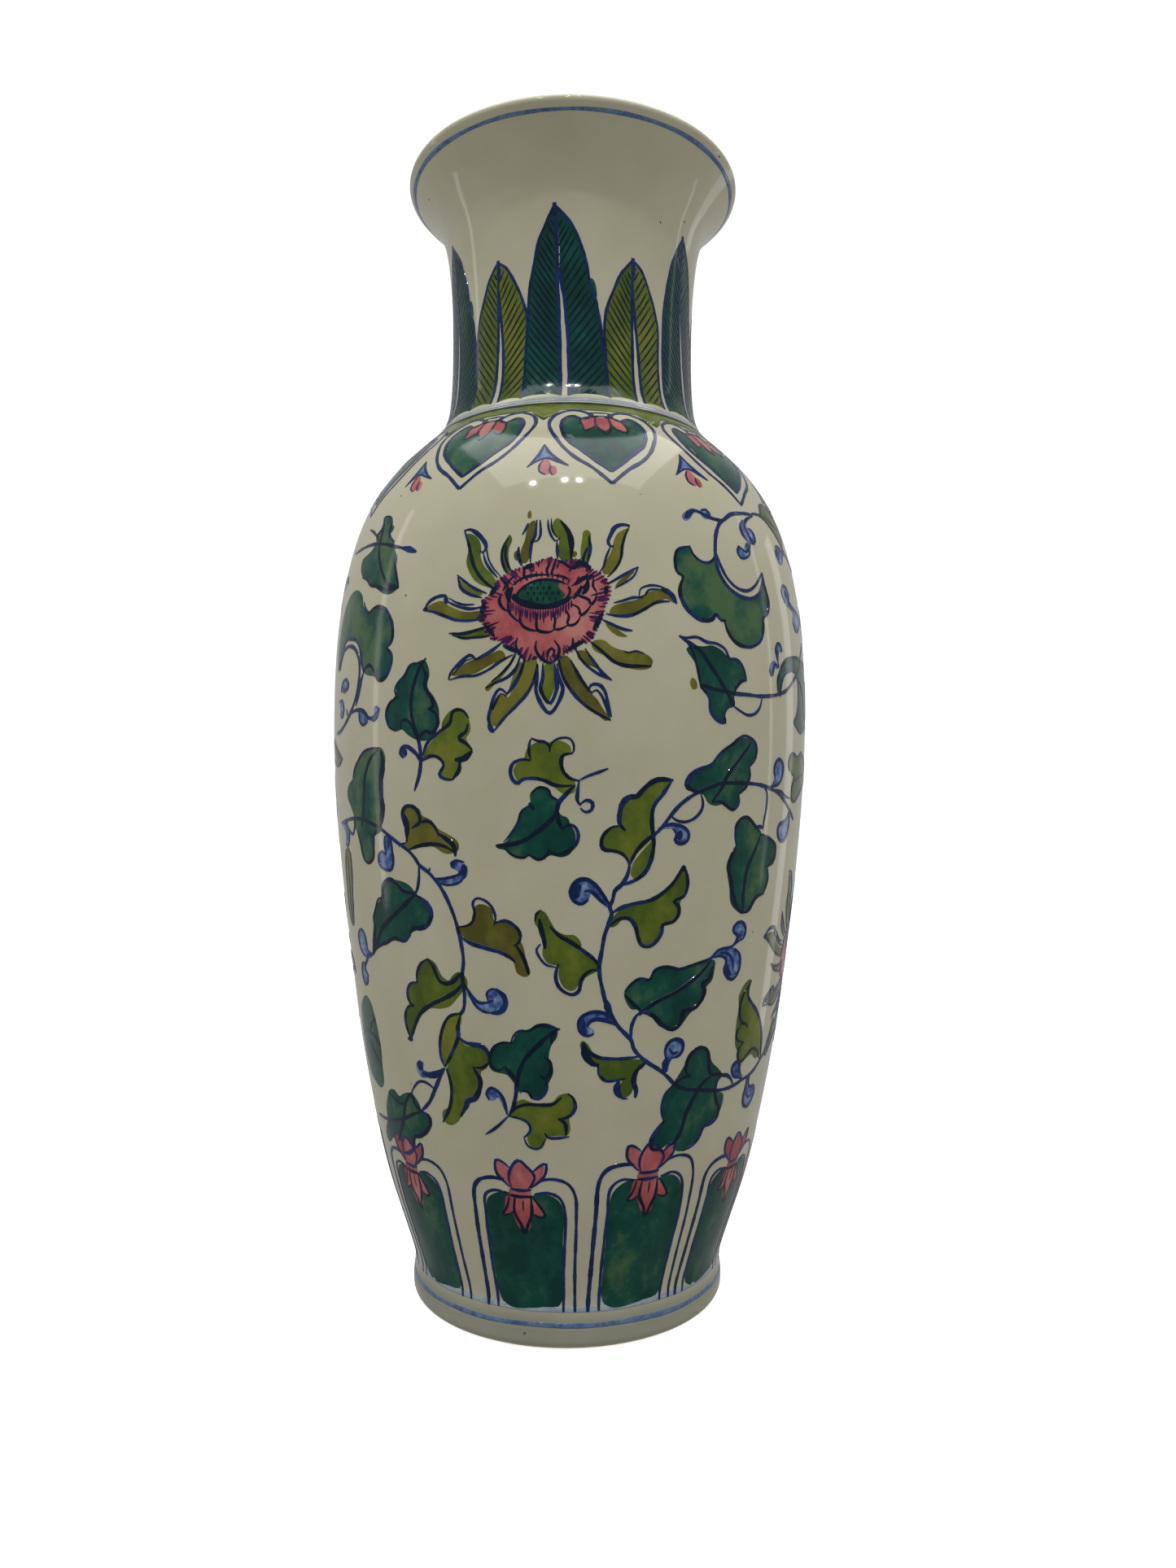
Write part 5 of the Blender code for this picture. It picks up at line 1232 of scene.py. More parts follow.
# A stroke's section: share of its half width, and whether it is on top. A pair is a sharp edge.
SECTION = ((-1.0, 0), (-0.82, 1), (-0.82, 1), (0.82, 1), (0.82, 1), (1.0, 0))
RIPPLES = ((0.1, 0.55), (0.07, 1.3), (0.05, 2.9))  # size, and radians to a mm

rng = random.Random(7)


def to_flat(places, radius):
    """Places laid out flat, in mm."""
    return np.asarray(places, float) * (TURN * radius, 1.0)


def spline(places, closed=False, step=STEP):
    """Evenly spaced (angle, height) places on a smooth line through some."""
    places = np.asarray(places, float)
    radius = radius_at(places[:, 1].mean())
    p = to_flat(places, radius)
    p = p[np.append(True, np.linalg.norm(np.diff(p, axis=0), axis=1) > 1e-4)]
    if closed:
        p = np.vstack([p[-1], p, p[0], p[1]])
    else:
        p = np.vstack([2 * p[0] - p[1], p, 2 * p[-1] - p[-2]])
    gap = np.maximum(np.linalg.norm(np.diff(p, axis=0), axis=1) ** 0.5, 1e-3)[:, None]
    slope = np.diff(p, axis=0) / gap
    across = (p[2:] - p[:-2]) / (gap[1:] + gap[:-1])
    tangent = slope[:-1] - across + slope[1:]
    t = np.linspace(0.0, 1.0, 9)[:-1, None]
    curve = []
    for i in range(1, len(p) - 2):
        span = gap[i]
        curve.append(
            (2 * t**3 - 3 * t**2 + 1) * p[i]
            + (t**3 - 2 * t**2 + t) * span * tangent[i - 1]
            + (3 * t**2 - 2 * t**3) * p[i + 1]
            + (t**3 - t**2) * span * tangent[i]
        )
    curve = np.vstack([*curve, p[-2]])
    along = np.append(0.0, np.cumsum(np.linalg.norm(np.diff(curve, axis=0), axis=1)))
    count = max(int(round(along[-1] / step)), 4)
    at = np.linspace(0.0, along[-1], count + 1)
    even = np.stack([np.interp(at, along, curve[:, k]) for k in (0, 1)], -1)
    if closed:
        even = even[:-1]
    return even / (TURN * radius, 1.0)


def inside(places, outline):
    """Which places lie in a closed outline."""
    x, y = places[:, 0][:, None], places[:, 1][:, None]
    ax, ay = outline[:, 0][None], outline[:, 1][None]
    bx, by = np.roll(outline[:, 0], -1)[None], np.roll(outline[:, 1], -1)[None]
    straddles = (ay > y) != (by > y)
    with np.errstate(divide="ignore", invalid="ignore"):
        cross = x < (bx - ax) * (y - ay) / (by - ay) + ax
    return (straddles & cross).sum(axis=1) % 2 == 1


class Brush:
    """Collects strokes into one piece, with a second material where they cross enamel."""

    def __init__(self, under):
        self.under = under
        self.points, self.faces, self.second, self.shade = [], [], [], []

    def stroke(self, width, places, style="", top=LINE_TOP):
        path = spline(places, closed=style == "closed")
        if style == "closed":
            path = np.vstack([path, path[0]])
        centre = on_vase(path[:, 0], path[:, 1])
        normal = normal_at(path[:, 0], path[:, 1])
        tangent = np.gradient(centre, axis=0)
        tangent /= np.linalg.norm(tangent, axis=1)[:, None]
        side = np.cross(tangent, normal)
        gaps = np.linalg.norm(np.diff(centre, axis=0), axis=1) / MM
        along = np.append(0.0, np.cumsum(gaps))
        total = along[-1]
        phases = [rng.uniform(0, math.tau) for _ in RIPPLES]
        ripple = sum(s * np.sin(along * r + phase) for (s, r), phase in zip(RIPPLES, phases))
        if style == "closed":
            ripple *= np.sin(np.pi * along / total) ** 0.3
            taper = np.ones_like(along)
        else:
            ends = np.minimum(along, total - along) / min(5.0, 0.45 * total)
            least = 0.8 if style == "blunt" else 0.4
            taper = least + (1.0 - least) * np.sin(np.clip(ends, 0, 1) * np.pi / 2)
        half = (width * BRUSH_LOAD * taper * (1.0 + ripple) / 2.0 * MM)[:, None]
        first = len(self.points)
        lifts = UNDER * MM, top * MM
        rows = [centre + side * half * share + normal * lifts[up] for share, up in SECTION]
        self.points.extend(np.stack(rows, 1).reshape(-1, 3))
        count, wide = len(path), len(SECTION)
        self.shade.extend([rng.uniform(0.0, 1.0)] * (count * wide))
        mids = (path[1:] + path[:-1]) / 2
        over = np.zeros(count - 1, bool)
        for outline in self.under:
            low_corner, high_corner = outline.min(axis=0), outline.max(axis=0)
            near = ((mids >= low_corner) & (mids <= high_corner)).all(axis=1)
            if near.any():
                over[near] |= inside(mids[near], outline)
        for i in range(count - 1):
            a, b = first + wide * i, first + wide * (i + 1)
            for k in (0, 2, 4):
                self.faces.append((a + k, a + k + 1, b + k + 1, b + k))
                self.second.append(int(over[i]))
        if style != "closed":
            e = first + wide * (count - 1)
            self.faces.append((first, first + 5, first + 4, first + 1))
            self.faces.append((e, e + 1, e + 4, e + 5))
            self.second += [int(over[0]), int(over[-1])]

    def strokes(self, lines, place, top=LINE_TOP):
        for width, points, *style in lines:
            self.stroke(width, place(points), *style, top=top)

    def dots(self, spots, radius, top):
        for angle, height in spots:
            wide = 0.45 * radius / (TURN * radius_at(height))
            ends = ((angle - wide, height), (angle, height + 0.05), (angle + wide, height))
            self.stroke(radius * 2.4, ends, "blunt", top)

    def make(self, name, over=NAVY):
        made = add_mesh(name, self.points, self.faces, COBALT)
        made.data.materials.append(over)
        made.data.polygons.foreach_set("material_index", self.second)
        store(made, "shade", self.shade)


def store(piece, name, values):
    """Gives a piece's points a value each, for its material to read."""
    attribute = piece.data.attributes.new(name, "FLOAT", "POINT")
    attribute.data.foreach_set("value", np.asarray(values, np.float32))


class Fields:
    """Collects filled fields of one enamel into one piece."""

    def __init__(self):
        self.points, self.faces, self.shade, self.inset, self.outlines = [], [], [], [], []

    def fill(self, places, top=FIELD_TOP, smooth=True, shade=None):
        """Adds a field inside an outline, domed a little, with a skirt that reaches the glaze."""
        outline = spline(places, closed=True) if smooth else np.asarray(places, float)
        self.outlines.append(outline)
        radius = radius_at(outline[:, 1].mean())
        flat = to_flat(outline, radius)
        low, high = flat.min(axis=0), flat.max(axis=0)
        xs = np.arange(low[0] + GRID / 3, high[0], GRID)
        ys = np.arange(low[1] + GRID / 3, high[1], GRID * 0.87)
        grid = np.array([(x + GRID / 2 * (j % 2), y) for j, y in enumerate(ys) for x in xs])
        if len(grid):
            gaps = np.linalg.norm(grid[:, None] - flat[None], axis=2).min(axis=1)
            keep = inside(grid, flat) & (gaps > 0.8)
            grid = grid[keep]
        every = np.vstack([flat, grid]) if len(grid) else flat
        loop = list(range(len(flat)))
        result = delaunay_2d_cdt([Vector(p) for p in every], [], [loop], 1, 1e-5)
        found = np.array([tuple(v) for v in result[0]])
        gaps = np.linalg.norm(found[:, None] - flat[None], axis=2).min(axis=1)
        spots = found / (TURN * radius, 1.0)
        lifts = top - FIELD_EDGE_DROP + FIELD_EDGE_DROP * np.clip(gaps / 1.5, 0, 1)
        first = len(self.points)
        normals = normal_at(spots[:, 0], spots[:, 1])
        self.points.extend(on_vase(spots[:, 0], spots[:, 1]) + normals * (lifts * MM)[:, None])
        self.inset.extend(np.clip(gaps / 3.0, 0, 1))
        for face in result[2]:
            a, b, c = (found[k] for k in face[:3])
            turn = (b[0] - a[0]) * (c[1] - a[1]) - (b[1] - a[1]) * (c[0] - a[0])
            order = face if turn > 0 else face[::-1]
            self.faces.append([first + k for k in order])
        skirt = len(self.points)
        n = len(outline)
        normals = normal_at(outline[:, 0], outline[:, 1])
        edge = on_vase(outline[:, 0], outline[:, 1])
        self.points.extend(edge + normals * (top - FIELD_EDGE_DROP) * MM)
        self.points.extend(edge + normals * UNDER * MM)
        self.inset.extend([0.0] * (2 * n))
        area = flat[:, 0] * np.roll(flat[:, 1], -1) - np.roll(flat[:, 0], -1) * flat[:, 1]
        for i in range(n):
            j = (i + 1) % n
            quad = (skirt + i, skirt + n + i, skirt + n + j, skirt + j)
            self.faces.append(quad if area.sum() > 0 else quad[::-1])
        tone = rng.uniform(0.0, 1.0) if shade is None else shade
        self.shade.extend([tone] * (len(self.points) - first))

    def make(self, name, kind, replaces=()):
        made = add_mesh(name, self.points, self.faces, LOOKS[kind], replaces)
        store(made, "shade", self.shade)
        store(made, "inset", self.inset)


def oval(angle, height, wide, tall, lean):
    """A closed outline of an ellipse, wide and tall in mm, leaning in degrees."""
    across = TURN * radius_at(height)
    c, s = math.cos(lean * TURN), math.sin(lean * TURN)
    spots = []
    for i in range(OVAL_POINTS):
        turn = math.tau * i / OVAL_POINTS
        x, y = wide * math.cos(turn), tall * math.sin(turn)
        spots.append((angle + (x * c - y * s) / across, height + x * s + y * c))
    return spots


def ring(name, low, high, top, material, replaces=()):
    """A band round the vase between two heights, each a number or a function of the angle."""
    angles = np.arange(SEGMENTS) * 360.0 / SEGMENTS
    lows = np.array([low(a) if callable(low) else low for a in angles])
    highs = np.array([high(a) if callable(high) else high for a in angles])
    points, faces = [], []
    levels = ((0.0, UNDER), (0.0, top), (1 / 3, top), (2 / 3, top), (1.0, top), (1.0, UNDER))
    for share, lift in levels:
        heights = lows + (highs - lows) * share
        points.extend(on_vase(angles, heights) + normal_at(angles, heights) * lift * MM)
    for k in range(len(levels) - 1):
        for i in range(SEGMENTS):
            j = (i + 1) % SEGMENTS
            a, b = k * SEGMENTS, (k + 1) * SEGMENTS
            faces.append((a + i, a + j, b + j, b + i))
    made = add_mesh(name, points, faces, material, replaces)
    store(made, "shade", [0.5] * len(points))
    store(made, "inset", [0.5] * len(points))


# ---------------------------------------------------------------------------------------------
# The porcelain
# ---------------------------------------------------------------------------------------------


def body_profile():
    """The glazed surface: up the outside, over the lip, and down the inside to the floor."""
    outer = [(radius_at(z), z) for z in np.arange(FOOT_TOP, FLARE_END, 1.0)]
    centre = (LIP_OUTER_RADIUS - LIP_RADIUS, HEIGHT - LIP_RADIUS)
    lip = arc(centre, LIP_RADIUS, -25, 180, 12)
    corner_top = FLOOR_TOP + FLOOR_CORNER_RADIUS
    inner = [(radius_at(z) - WALL, z) for z in np.arange(FLARE_END - 6.0, corner_top, -3.0)]
    end = inner[-1][0] - FLOOR_CORNER_RADIUS
    corner = [
        (end + FLOOR_CORNER_RADIUS * math.cos(t), corner_top - FLOOR_CORNER_RADIUS * math.sin(t))
        for t in np.linspace(0.2, math.pi / 2, 7)
    ]
    inside_lip = [(LIP_OUTER_RADIUS - 3.6, HEIGHT - 3.8)]
    floor = [(end * share, FLOOR_TOP) for share in (0.75, 0.4, 0.0)]
    return outer + lip + inside_lip + inner + corner + floor


turned(
    "glazed_vase", body_profile(), GLAZE,
    ("lower_body", "upper_body", "neck", "mouth", "base_floor",
     "slip_seam_foot", "slip_seam_waist", "slip_seam_shoulder", "slip_seam_mouth"),
)  # fmt: skip

foot_corner = arc((FOOT_RADIUS - FOOT_ROUNDING, FOOT_ROUNDING), FOOT_ROUNDING, 0, -90, 10)
glazed_part = [p for p in foot_corner if p[1] >= BISCUIT_TOP]
bare_part = [p for p in foot_corner if p[1] < BISCUIT_TOP]
turned(
    "foot_glaze", [(radius_at(FOOT_TOP) - 0.02, FOOT_TOP + FOOT_LAP),
                   (FOOT_RADIUS, FOOT_TOP - FOOT_LAP), *glazed_part, bare_part[0]],
    GLAZE,
)  # fmt: skip
turned(
    "foot_rim",
    [*bare_part, (BEARING_INNER_RADIUS + 1.0, 0.0), (BEARING_INNER_RADIUS, 0.4), RECESS_EDGE],
    BISCUIT, ("foot_ring",),
)  # fmt: skip
turned(
    "underside", [RECESS_EDGE, (RECESS_RADIUS - 0.3, RECESS_TOP - 1.5),
                  (RECESS_RADIUS - 2.0, RECESS_TOP), (20.0, RECESS_TOP), (0.0, RECESS_TOP)],
    GLAZE,
)  # fmt: skip

# ---------------------------------------------------------------------------------------------
# Bands round the vase
# ---------------------------------------------------------------------------------------------


def around(front, count):
    """Angles of a row of motifs: those seen on the front, and the rest evenly round the back."""
    missing = count - len(front)
    pitch = (360.0 - (front[-1] - front[0])) / (missing + 1)
    return [*front, *(front[-1] + pitch * (i + 1) for i in range(missing))]


LEAVES = around((-67.0, -35.0, -5.0, 27.0, 60.0), 12)
LAPPETS = around((-27.0, 9.3, 46.0), 10)
PANELS = around((-49.5, -12.5, 21.5, 54.5), 10)
COLLAR = 276.4
BAND_LOW = 270.0
SPANDREL_REACH = 5.0  # degrees to either side of the gap between two lappets
SPANDREL_DROP = 4.6


def wavy(height, size, seed):
    """A height that wavers by a size in mm as the line goes round."""
    phase = random.Random(seed).uniform(0, math.tau)
    return lambda a: height + size * (
        math.sin(3 * a * TURN + phase) + 0.6 * math.sin(11 * a * TURN + 2 * phase)
    )


def spandrel(angle):
    """The lower edge of the collar's green band, which fills the corners between lappets."""
    pairs = zip(LAPPETS, LAPPETS[1:] + [LAPPETS[0] + 360.0])
    for a, b in pairs:
        offset = (angle - (a + b) / 2 + 180.0) % 360.0 - 180.0
        if abs(offset) < SPANDREL_REACH:
            return BAND_LOW - SPANDREL_DROP * (1.0 - abs(offset) / SPANDREL_REACH) ** 0.8
    return BAND_LOW


ring("rim_line", wavy(355.8, 0.08, 1), wavy(356.6, 0.1, 2), 0.08, RIM_BLUE,
     ("mouth_line",))  # fmt: skip
ring("collar_line", wavy(274.1, 0.06, 3), wavy(275.5, 0.06, 4), 0.07, PALE_BLUE,
     ("collar_line",))  # fmt: skip
ring("collar_band", spandrel, 273.3, 0.05, LOOKS[MOSS],
     ("collar_band",))  # fmt: skip
ring("collar_thin_line", 272.9, 273.5, 0.1, NAVY)
ring("foot_wash", wavy(10.9, 0.1, 5), wavy(12.7, 0.12, 6), 0.06, PALE_BLUE,
     ("foot_line_upper",))  # fmt: skip
ring("foot_line", wavy(6.5, 0.16, 7), wavy(7.8, 0.16, 8), 0.08, RIM_BLUE,
     ("foot_line_lower",))  # fmt: skip

# Neck leaves. Edges and ribs are (offset from the leaf's angle, height).
TALL_LEFT = ((-15.8, 276.4), (-15.7, 287.9), (-15, 302.1), (-14.2, 310.7), (-12.1, 317.9),
             (-10, 324.3), (-6.7, 329.3), (-2.75, 334.6))  # fmt: skip
TALL_RIGHT = ((20.2, 276.4), (20, 285), (18.3, 292.1), (17.5, 299.3), (15.4, 306.4),
              (12.5, 311.4), (11.3, 317.1), (10, 320), (8.3, 323.6), (5, 328.6), (0.8, 332.1),
              (-2.75, 334.6))  # fmt: skip
TALL_RIBS = (((0.4, 276.4), (-0.8, 302), (-1.7, 315), (-1.6, 322)),
             ((3.8, 276.4), (3.3, 291.4), (1.7, 305), (-1, 316.5)))  # fmt: skip
SHORT_LEFT = ((-11.8, 276.4), (-12.4, 289.3), (-13, 299.3), (-12, 305), (-8.7, 310.7),
              (-5.3, 316.4), (0.2, 320.8))  # fmt: skip
SHORT_RIGHT = ((14.2, 276.4), (14.3, 287.9), (15, 302.1), (14.2, 304.3), (11.7, 309.3),
               (8.3, 314.3), (5, 318.2), (0.2, 320.8))  # fmt: skip
SHORT_RIBS = (((0.1, 276.4), (0.3, 295), (0.1, 306), (0.2, 316)),
              ((3.7, 276.4), (3.4, 290.7), (1.7, 303), (0.4, 312)))  # fmt: skip
LEAF_THUMB = ((12.6, 313.4), (14, 313), (15.2, 311), (15.6, 307.5), (14.6, 308.8), (12.9, 311.2))
LEAF_GAP = 0.1
VEIN_START = 16.0  # below the collar, so that veins already rise from the rib there
VEIN_PITCH = 2.7
VEIN_GAP = 0.9
VEIN_SLOPE, VEIN_SLOPE_GAIN = 46, 17  # degrees at the collar, and how many more at the tip


def shifted(points, centre, rise=0.0):
    """A motif's points, which are offsets from its angle, at that angle."""
    return [(centre + a, z + rise) for a, z in points]


def across_at(edge, height):
    """The offset of an edge or a rib at a height."""
    return float(np.interp(height, [p[1] for p in edge], [p[0] for p in edge]))


def sampled(edge, low, high):
    """Points on an edge or a rib between two heights, 3 mm apart."""
    heights = np.arange(low, high, 3.0)
    return [(across_at(edge, z), float(z)) for z in heights] + [(across_at(edge, high), high)]


def leaf_half(rib, edge, apex, side):
    """A closed outline of one half of a leaf, between its rib and its edge, shy of both."""
    top = edge[-1][1] - 0.6
    up = [(a + side * 0.35, z) for a, z in sampled(rib, COLLAR + 0.1, apex)]
    over = [(across_at(edge, top), top)]
    down = [(a - side * LEAF_GAP, z) for a, z in sampled(edge, COLLAR + 0.1, top - 2.0)][::-1]
    return up + over + down


def draw_veins(brush, centre, rib, edge, side, width):
    """Veins that climb from a rib to the leaf's edge, steeper towards the tip."""
    tip, height = edge[-1][1], COLLAR - VEIN_START
    while height < tip - 4.0:
        share = np.clip((height - COLLAR) / (tip - COLLAR), 0, 1)
        climb = math.tan((VEIN_SLOPE + VEIN_SLOPE_GAIN * share) * TURN)
        z, path = height, []
        offset = across_at(rib, z) + side * VEIN_GAP * (z < rib[-1][1])
        while z < tip:
            if abs(offset) > abs(across_at(edge, z)) + 0.3 and z > COLLAR:
                break
            if z > COLLAR + 0.4:
                path.append((centre + offset, z))
            offset += side / (TURN * radius_at(z))
            z += climb * (1.0 + 0.02 * len(path))
        if len(path) > 1:
            brush.stroke(width, path)
        height += VEIN_PITCH * rng.uniform(0.9, 1.1)


# A tall leaf and a short one: edges, ribs, enamel, the shades of its halves, and vein width.
LEAF_KINDS = (
    ("tall", TALL_LEFT, TALL_RIGHT, TALL_RIBS, DARK, (0.1, 0.1), 0.56),
    ("short", SHORT_LEFT, SHORT_RIGHT, SHORT_RIBS, MOSS, (0.2, 0.7), 0.5),
)

neck_outlines = []
neck_brush = Brush(neck_outlines)
for index, centre in enumerate(LEAVES):
    words, left, right, ribs, kind, shades, vein_width = LEAF_KINDS[index % 2]
    halves = ((ribs[0], left, -1), (ribs[1], right, 1))
    merge, tip = ribs[0][-1], left[-1]
    enamel = Fields()
    for (rib, edge, side), shade in zip(halves, shades):
        half = leaf_half(rib, edge, merge[1], side)
        enamel.fill(shifted(half, centre), smooth=False, shade=shade)
    if words == "tall":
        enamel.fill(shifted(LEAF_THUMB, centre), shade=0.9)
    name = f"neck_leaf_{words}_{index // 2 + 1}"
    enamel.make(name, kind, (name,))
    neck_outlines.extend(enamel.outlines)
    for edge in (left, right):
        neck_brush.stroke(0.8, shifted(sampled(edge, COLLAR, tip[1]), centre), "blunt")
    crook = ((tip[0], tip[1] + 0.6), (tip[0] + 0.2, tip[1] - 2.2), (tip[0] + 0.5, tip[1] - 4.5))
    neck_brush.stroke(1.3, shifted(crook, centre), "blunt")
    for rib in ribs:
        neck_brush.stroke(0.9, shifted(rib, centre), "blunt")
    spine = ((merge[0] + 0.1, merge[1] - 1.5),
             ((merge[0] + 0.1 + tip[0]) / 2, (merge[1] + tip[1]) / 2),
             (tip[0] + 0.2, tip[1] - 1.0))  # fmt: skip
    neck_brush.stroke(1.1, shifted(spine, centre))
    for rib, edge, side in halves:
        draw_veins(neck_brush, centre, rib, edge, side, vein_width)
neck_brush.make("neck_lines")

# Shoulder lappets, as offsets from each one's angle. Of the two borders, the left half, which is
# mirrored; the flower, its lines, and the blue hat with two buds to the left are drawn whole.
LAPPET_OUTER = ((0, 243), (-4.4, 247.8), (-8.4, 251), (-11.4, 254.5), (-13.4, 257.8),
                (-15.4, 261.5), (-16.1, 264.5), (-14.9, 267.3), (-12.2, 269), (-8.9, 269.8),
                (-4.8, 269), (-3.3, 267.7))  # fmt: skip
LAPPET_INNER = ((0, 246.8), (-3.4, 250), (-6.9, 253.5), (-9.9, 256.5), (-11.65, 259.5),
                (-12.4, 262.5), (-12.15, 265), (-10.65, 266.8), (-8.9, 267.3), (-7.2, 266.4),
                (-5.9, 265.8), (-4.4, 266.3), (-3.3, 267.5))  # fmt: skip
LAPPET_FLOWER = (
    ((-1.9, 266.6), (-2.1, 263.7), (0.1, 261.2), (2.2, 263.5), (2, 266.4)),
    ((-2.4, 266.6), (-4.9, 266.1), (-6.8, 265.2), (-6.4, 262.6), (-5.6, 261.3), (-3.3, 262.3)),
    ((2.4, 266.6), (5.2, 265.9), (6.7, 263.6), (6.4, 261.7), (4.1, 262)),
)
LAPPET_LINES = (
    (0.8, ((-1.9, 267.2), (-2.3, 263.7), (-1.2, 261.4), (0.3, 259.7), (1.6, 261.4), (2.3, 263.5),
           (2.1, 267.2))),
    (0.7, ((-2.2, 266.9), (-5, 266.7), (-6.9, 265.1), (-6.2, 263), (-5.7, 260.9), (-3.6, 262.1),
           (-2.2, 263.2))),
    (0.7, ((2.2, 266.9), (5.2, 266.3), (6.9, 263.7), (6.6, 261), (4.1, 261.9), (2.4, 263.2))),
    (0.6, ((-3.1, 268.9), (2.9, 269.1))),
    (0.6, ((-3.1, 267.4), (2.9, 267.6))),
    (1.3, ((-3.7, 268.9), (-3, 268.1), (-3.4, 267.3))),
    (1.3, ((3.5, 269), (2.9, 268.2), (3.4, 267.4))),
)  # fmt: skip
HAT = ((-16.3, 255.2), (-17.4, 252.4), (-19.6, 248.2), (-18.4, 249.2), (-17.2, 250.3),
       (-15.3, 251), (-13.3, 249.9), (-12.4, 249.2), (-10.3, 248.4), (-13.4, 251.2),
       (-15, 253.4))  # fmt: skip
HAT_LINES = (
    (0.8, ((-16.3, 255.6), (-17.2, 252.6), (-18.3, 250.4), (-19.9, 247.9))),
    (0.8, ((-16.3, 255.6), (-15.1, 253.2), (-13.2, 250.9), (-10, 248.2))),
    (0.6, ((-19.6, 248.2), (-17.3, 250.1), (-15.3, 250.8), (-13.2, 249.8), (-10.4, 248.3))),
    (0.6, ((-16.2, 249.9), (-17, 248.4), (-16.7, 246.3), (-15.4, 245.4))),
    (0.6, ((-14.2, 248.3), (-14.4, 246.5), (-13.7, 245.2))),
)  # fmt: skip


# The two buds: offset, height, half width, half height, lean.
HAT_BUDS = ((-15.4, 248.0, 1.5, 2.7, 14), (-13.6, 246.7, 1.0, 1.6, 10))


def mirrored(half):
    """A half outline that starts on the axis, made whole."""
    return [*half, *((-a, z) for a, z in reversed(half[1:]))]


shoulder_outlines = []
shoulder_brush = Brush(shoulder_outlines)
flowers, hats, hat_buds = Fields(), Fields(), Fields()
for index, centre in enumerate(LAPPETS):
    enamel = Fields()
    shade = rng.uniform(0.0, 0.6)
    enamel.fill(shifted(mirrored(LAPPET_INNER), centre), smooth=False, shade=shade)
    name = f"shoulder_lappet_{index + 1}"
    enamel.make(name, DARK, (name,))
    shoulder_outlines.extend(enamel.outlines)
    for petal in LAPPET_FLOWER:
        flowers.fill(shifted(petal, centre), SECOND_TOP)
    hats.fill(shifted(HAT, centre), smooth=False)
    for offset, *shape in HAT_BUDS:
        hat_buds.fill(oval(centre + offset, *shape))
    for half in (LAPPET_OUTER, LAPPET_INNER):
        for side in (1, -1):
            shoulder_brush.stroke(1.0, shifted([(side * a, z) for a, z in half], centre), "blunt")
    for width, points in (*LAPPET_LINES, *HAT_LINES):
        shoulder_brush.stroke(width, shifted(points, centre))
flowers.make("lappet_flowers", ROSE)
hats.make("shoulder_hats", WASH)
hat_buds.make("shoulder_buds", ROSE)
shoulder_brush.make("shoulder_lines")

# Foot panels, as offsets from each one's angle. A panel's head and its bud can be raised.
PANEL_OUTER = ((-14.8, 10.9), (-14.4, 24.5), (-13.9, 40.1), (-13.3, 48.3), (-11.3, 50.8),
               (-7.5, 51.9), (-4.4, 51.6))  # fmt: skip
PANEL_OUTER_RIGHT = ((3.8, 50.6), (5.6, 52), (9, 52.5), (12.5, 51.1), (14.4, 47.6), (14.8, 40),
                     (14.7, 24.5), (15, 11))  # fmt: skip
PANEL_INNER = ((-11.1, 11), (-11.2, 24.5), (-10.7, 40.1), (-10.2, 46.4), (-7.5, 48.1),
               (-4.1, 47.8))  # fmt: skip
PANEL_INNER_RIGHT = ((3.7, 47.8), (7.1, 48.4), (10.2, 47), (11.6, 43.3), (11.3, 24.5),
                     (11.2, 11))  # fmt: skip
PANEL_FIELD = ((-9.8, 45.1), (-7.5, 47.1), (-4.5, 48), (2.5, 47.4), (5.5, 48), (7.9, 47.6),
               (10.3, 45.8), (11.3, 42), (11.1, 33), (11, 24.5), (10.8, 14.5), (9, 12.4),
               (4.8, 12), (-5.2, 11.2), (-8.3, 12), (-10.2, 14.5), (-10.6, 24.5),
               (-10.4, 37))  # fmt: skip
BUD_PETALS = (
    ((-0.3, 57), (-2.6, 54), (-2.7, 51.6), (-2.3, 49.3), (1.9, 49.3), (3.4, 51.4), (3.7, 53.4)),
    ((-6, 56.8), (-6.2, 53.9), (-4.3, 50.9), (-2.7, 49.6), (-2.6, 52.6), (-3.1, 55.6)),
    ((6.5, 56.7), (6.3, 53.9), (4.3, 51), (2.3, 49.6), (3.2, 52.4), (3.8, 55)),
    ((-1.9, 46.7), (-2.3, 42), (-0.4, 37), (2, 36.9), (2.7, 42), (2.6, 46.7)),
    ((-3.9, 46.7), (-4.3, 43.9), (-5.4, 41.3), (-2.6, 41.6), (-1.9, 44), (-2, 46.7)),
    ((3.3, 46.4), (5.1, 43.9), (6.2, 41.5), (3, 41.8), (2.6, 44)),
    ((-2.6, 49.2), (-2.8, 47.2), (2.8, 47.2), (2.7, 49.2)),
)
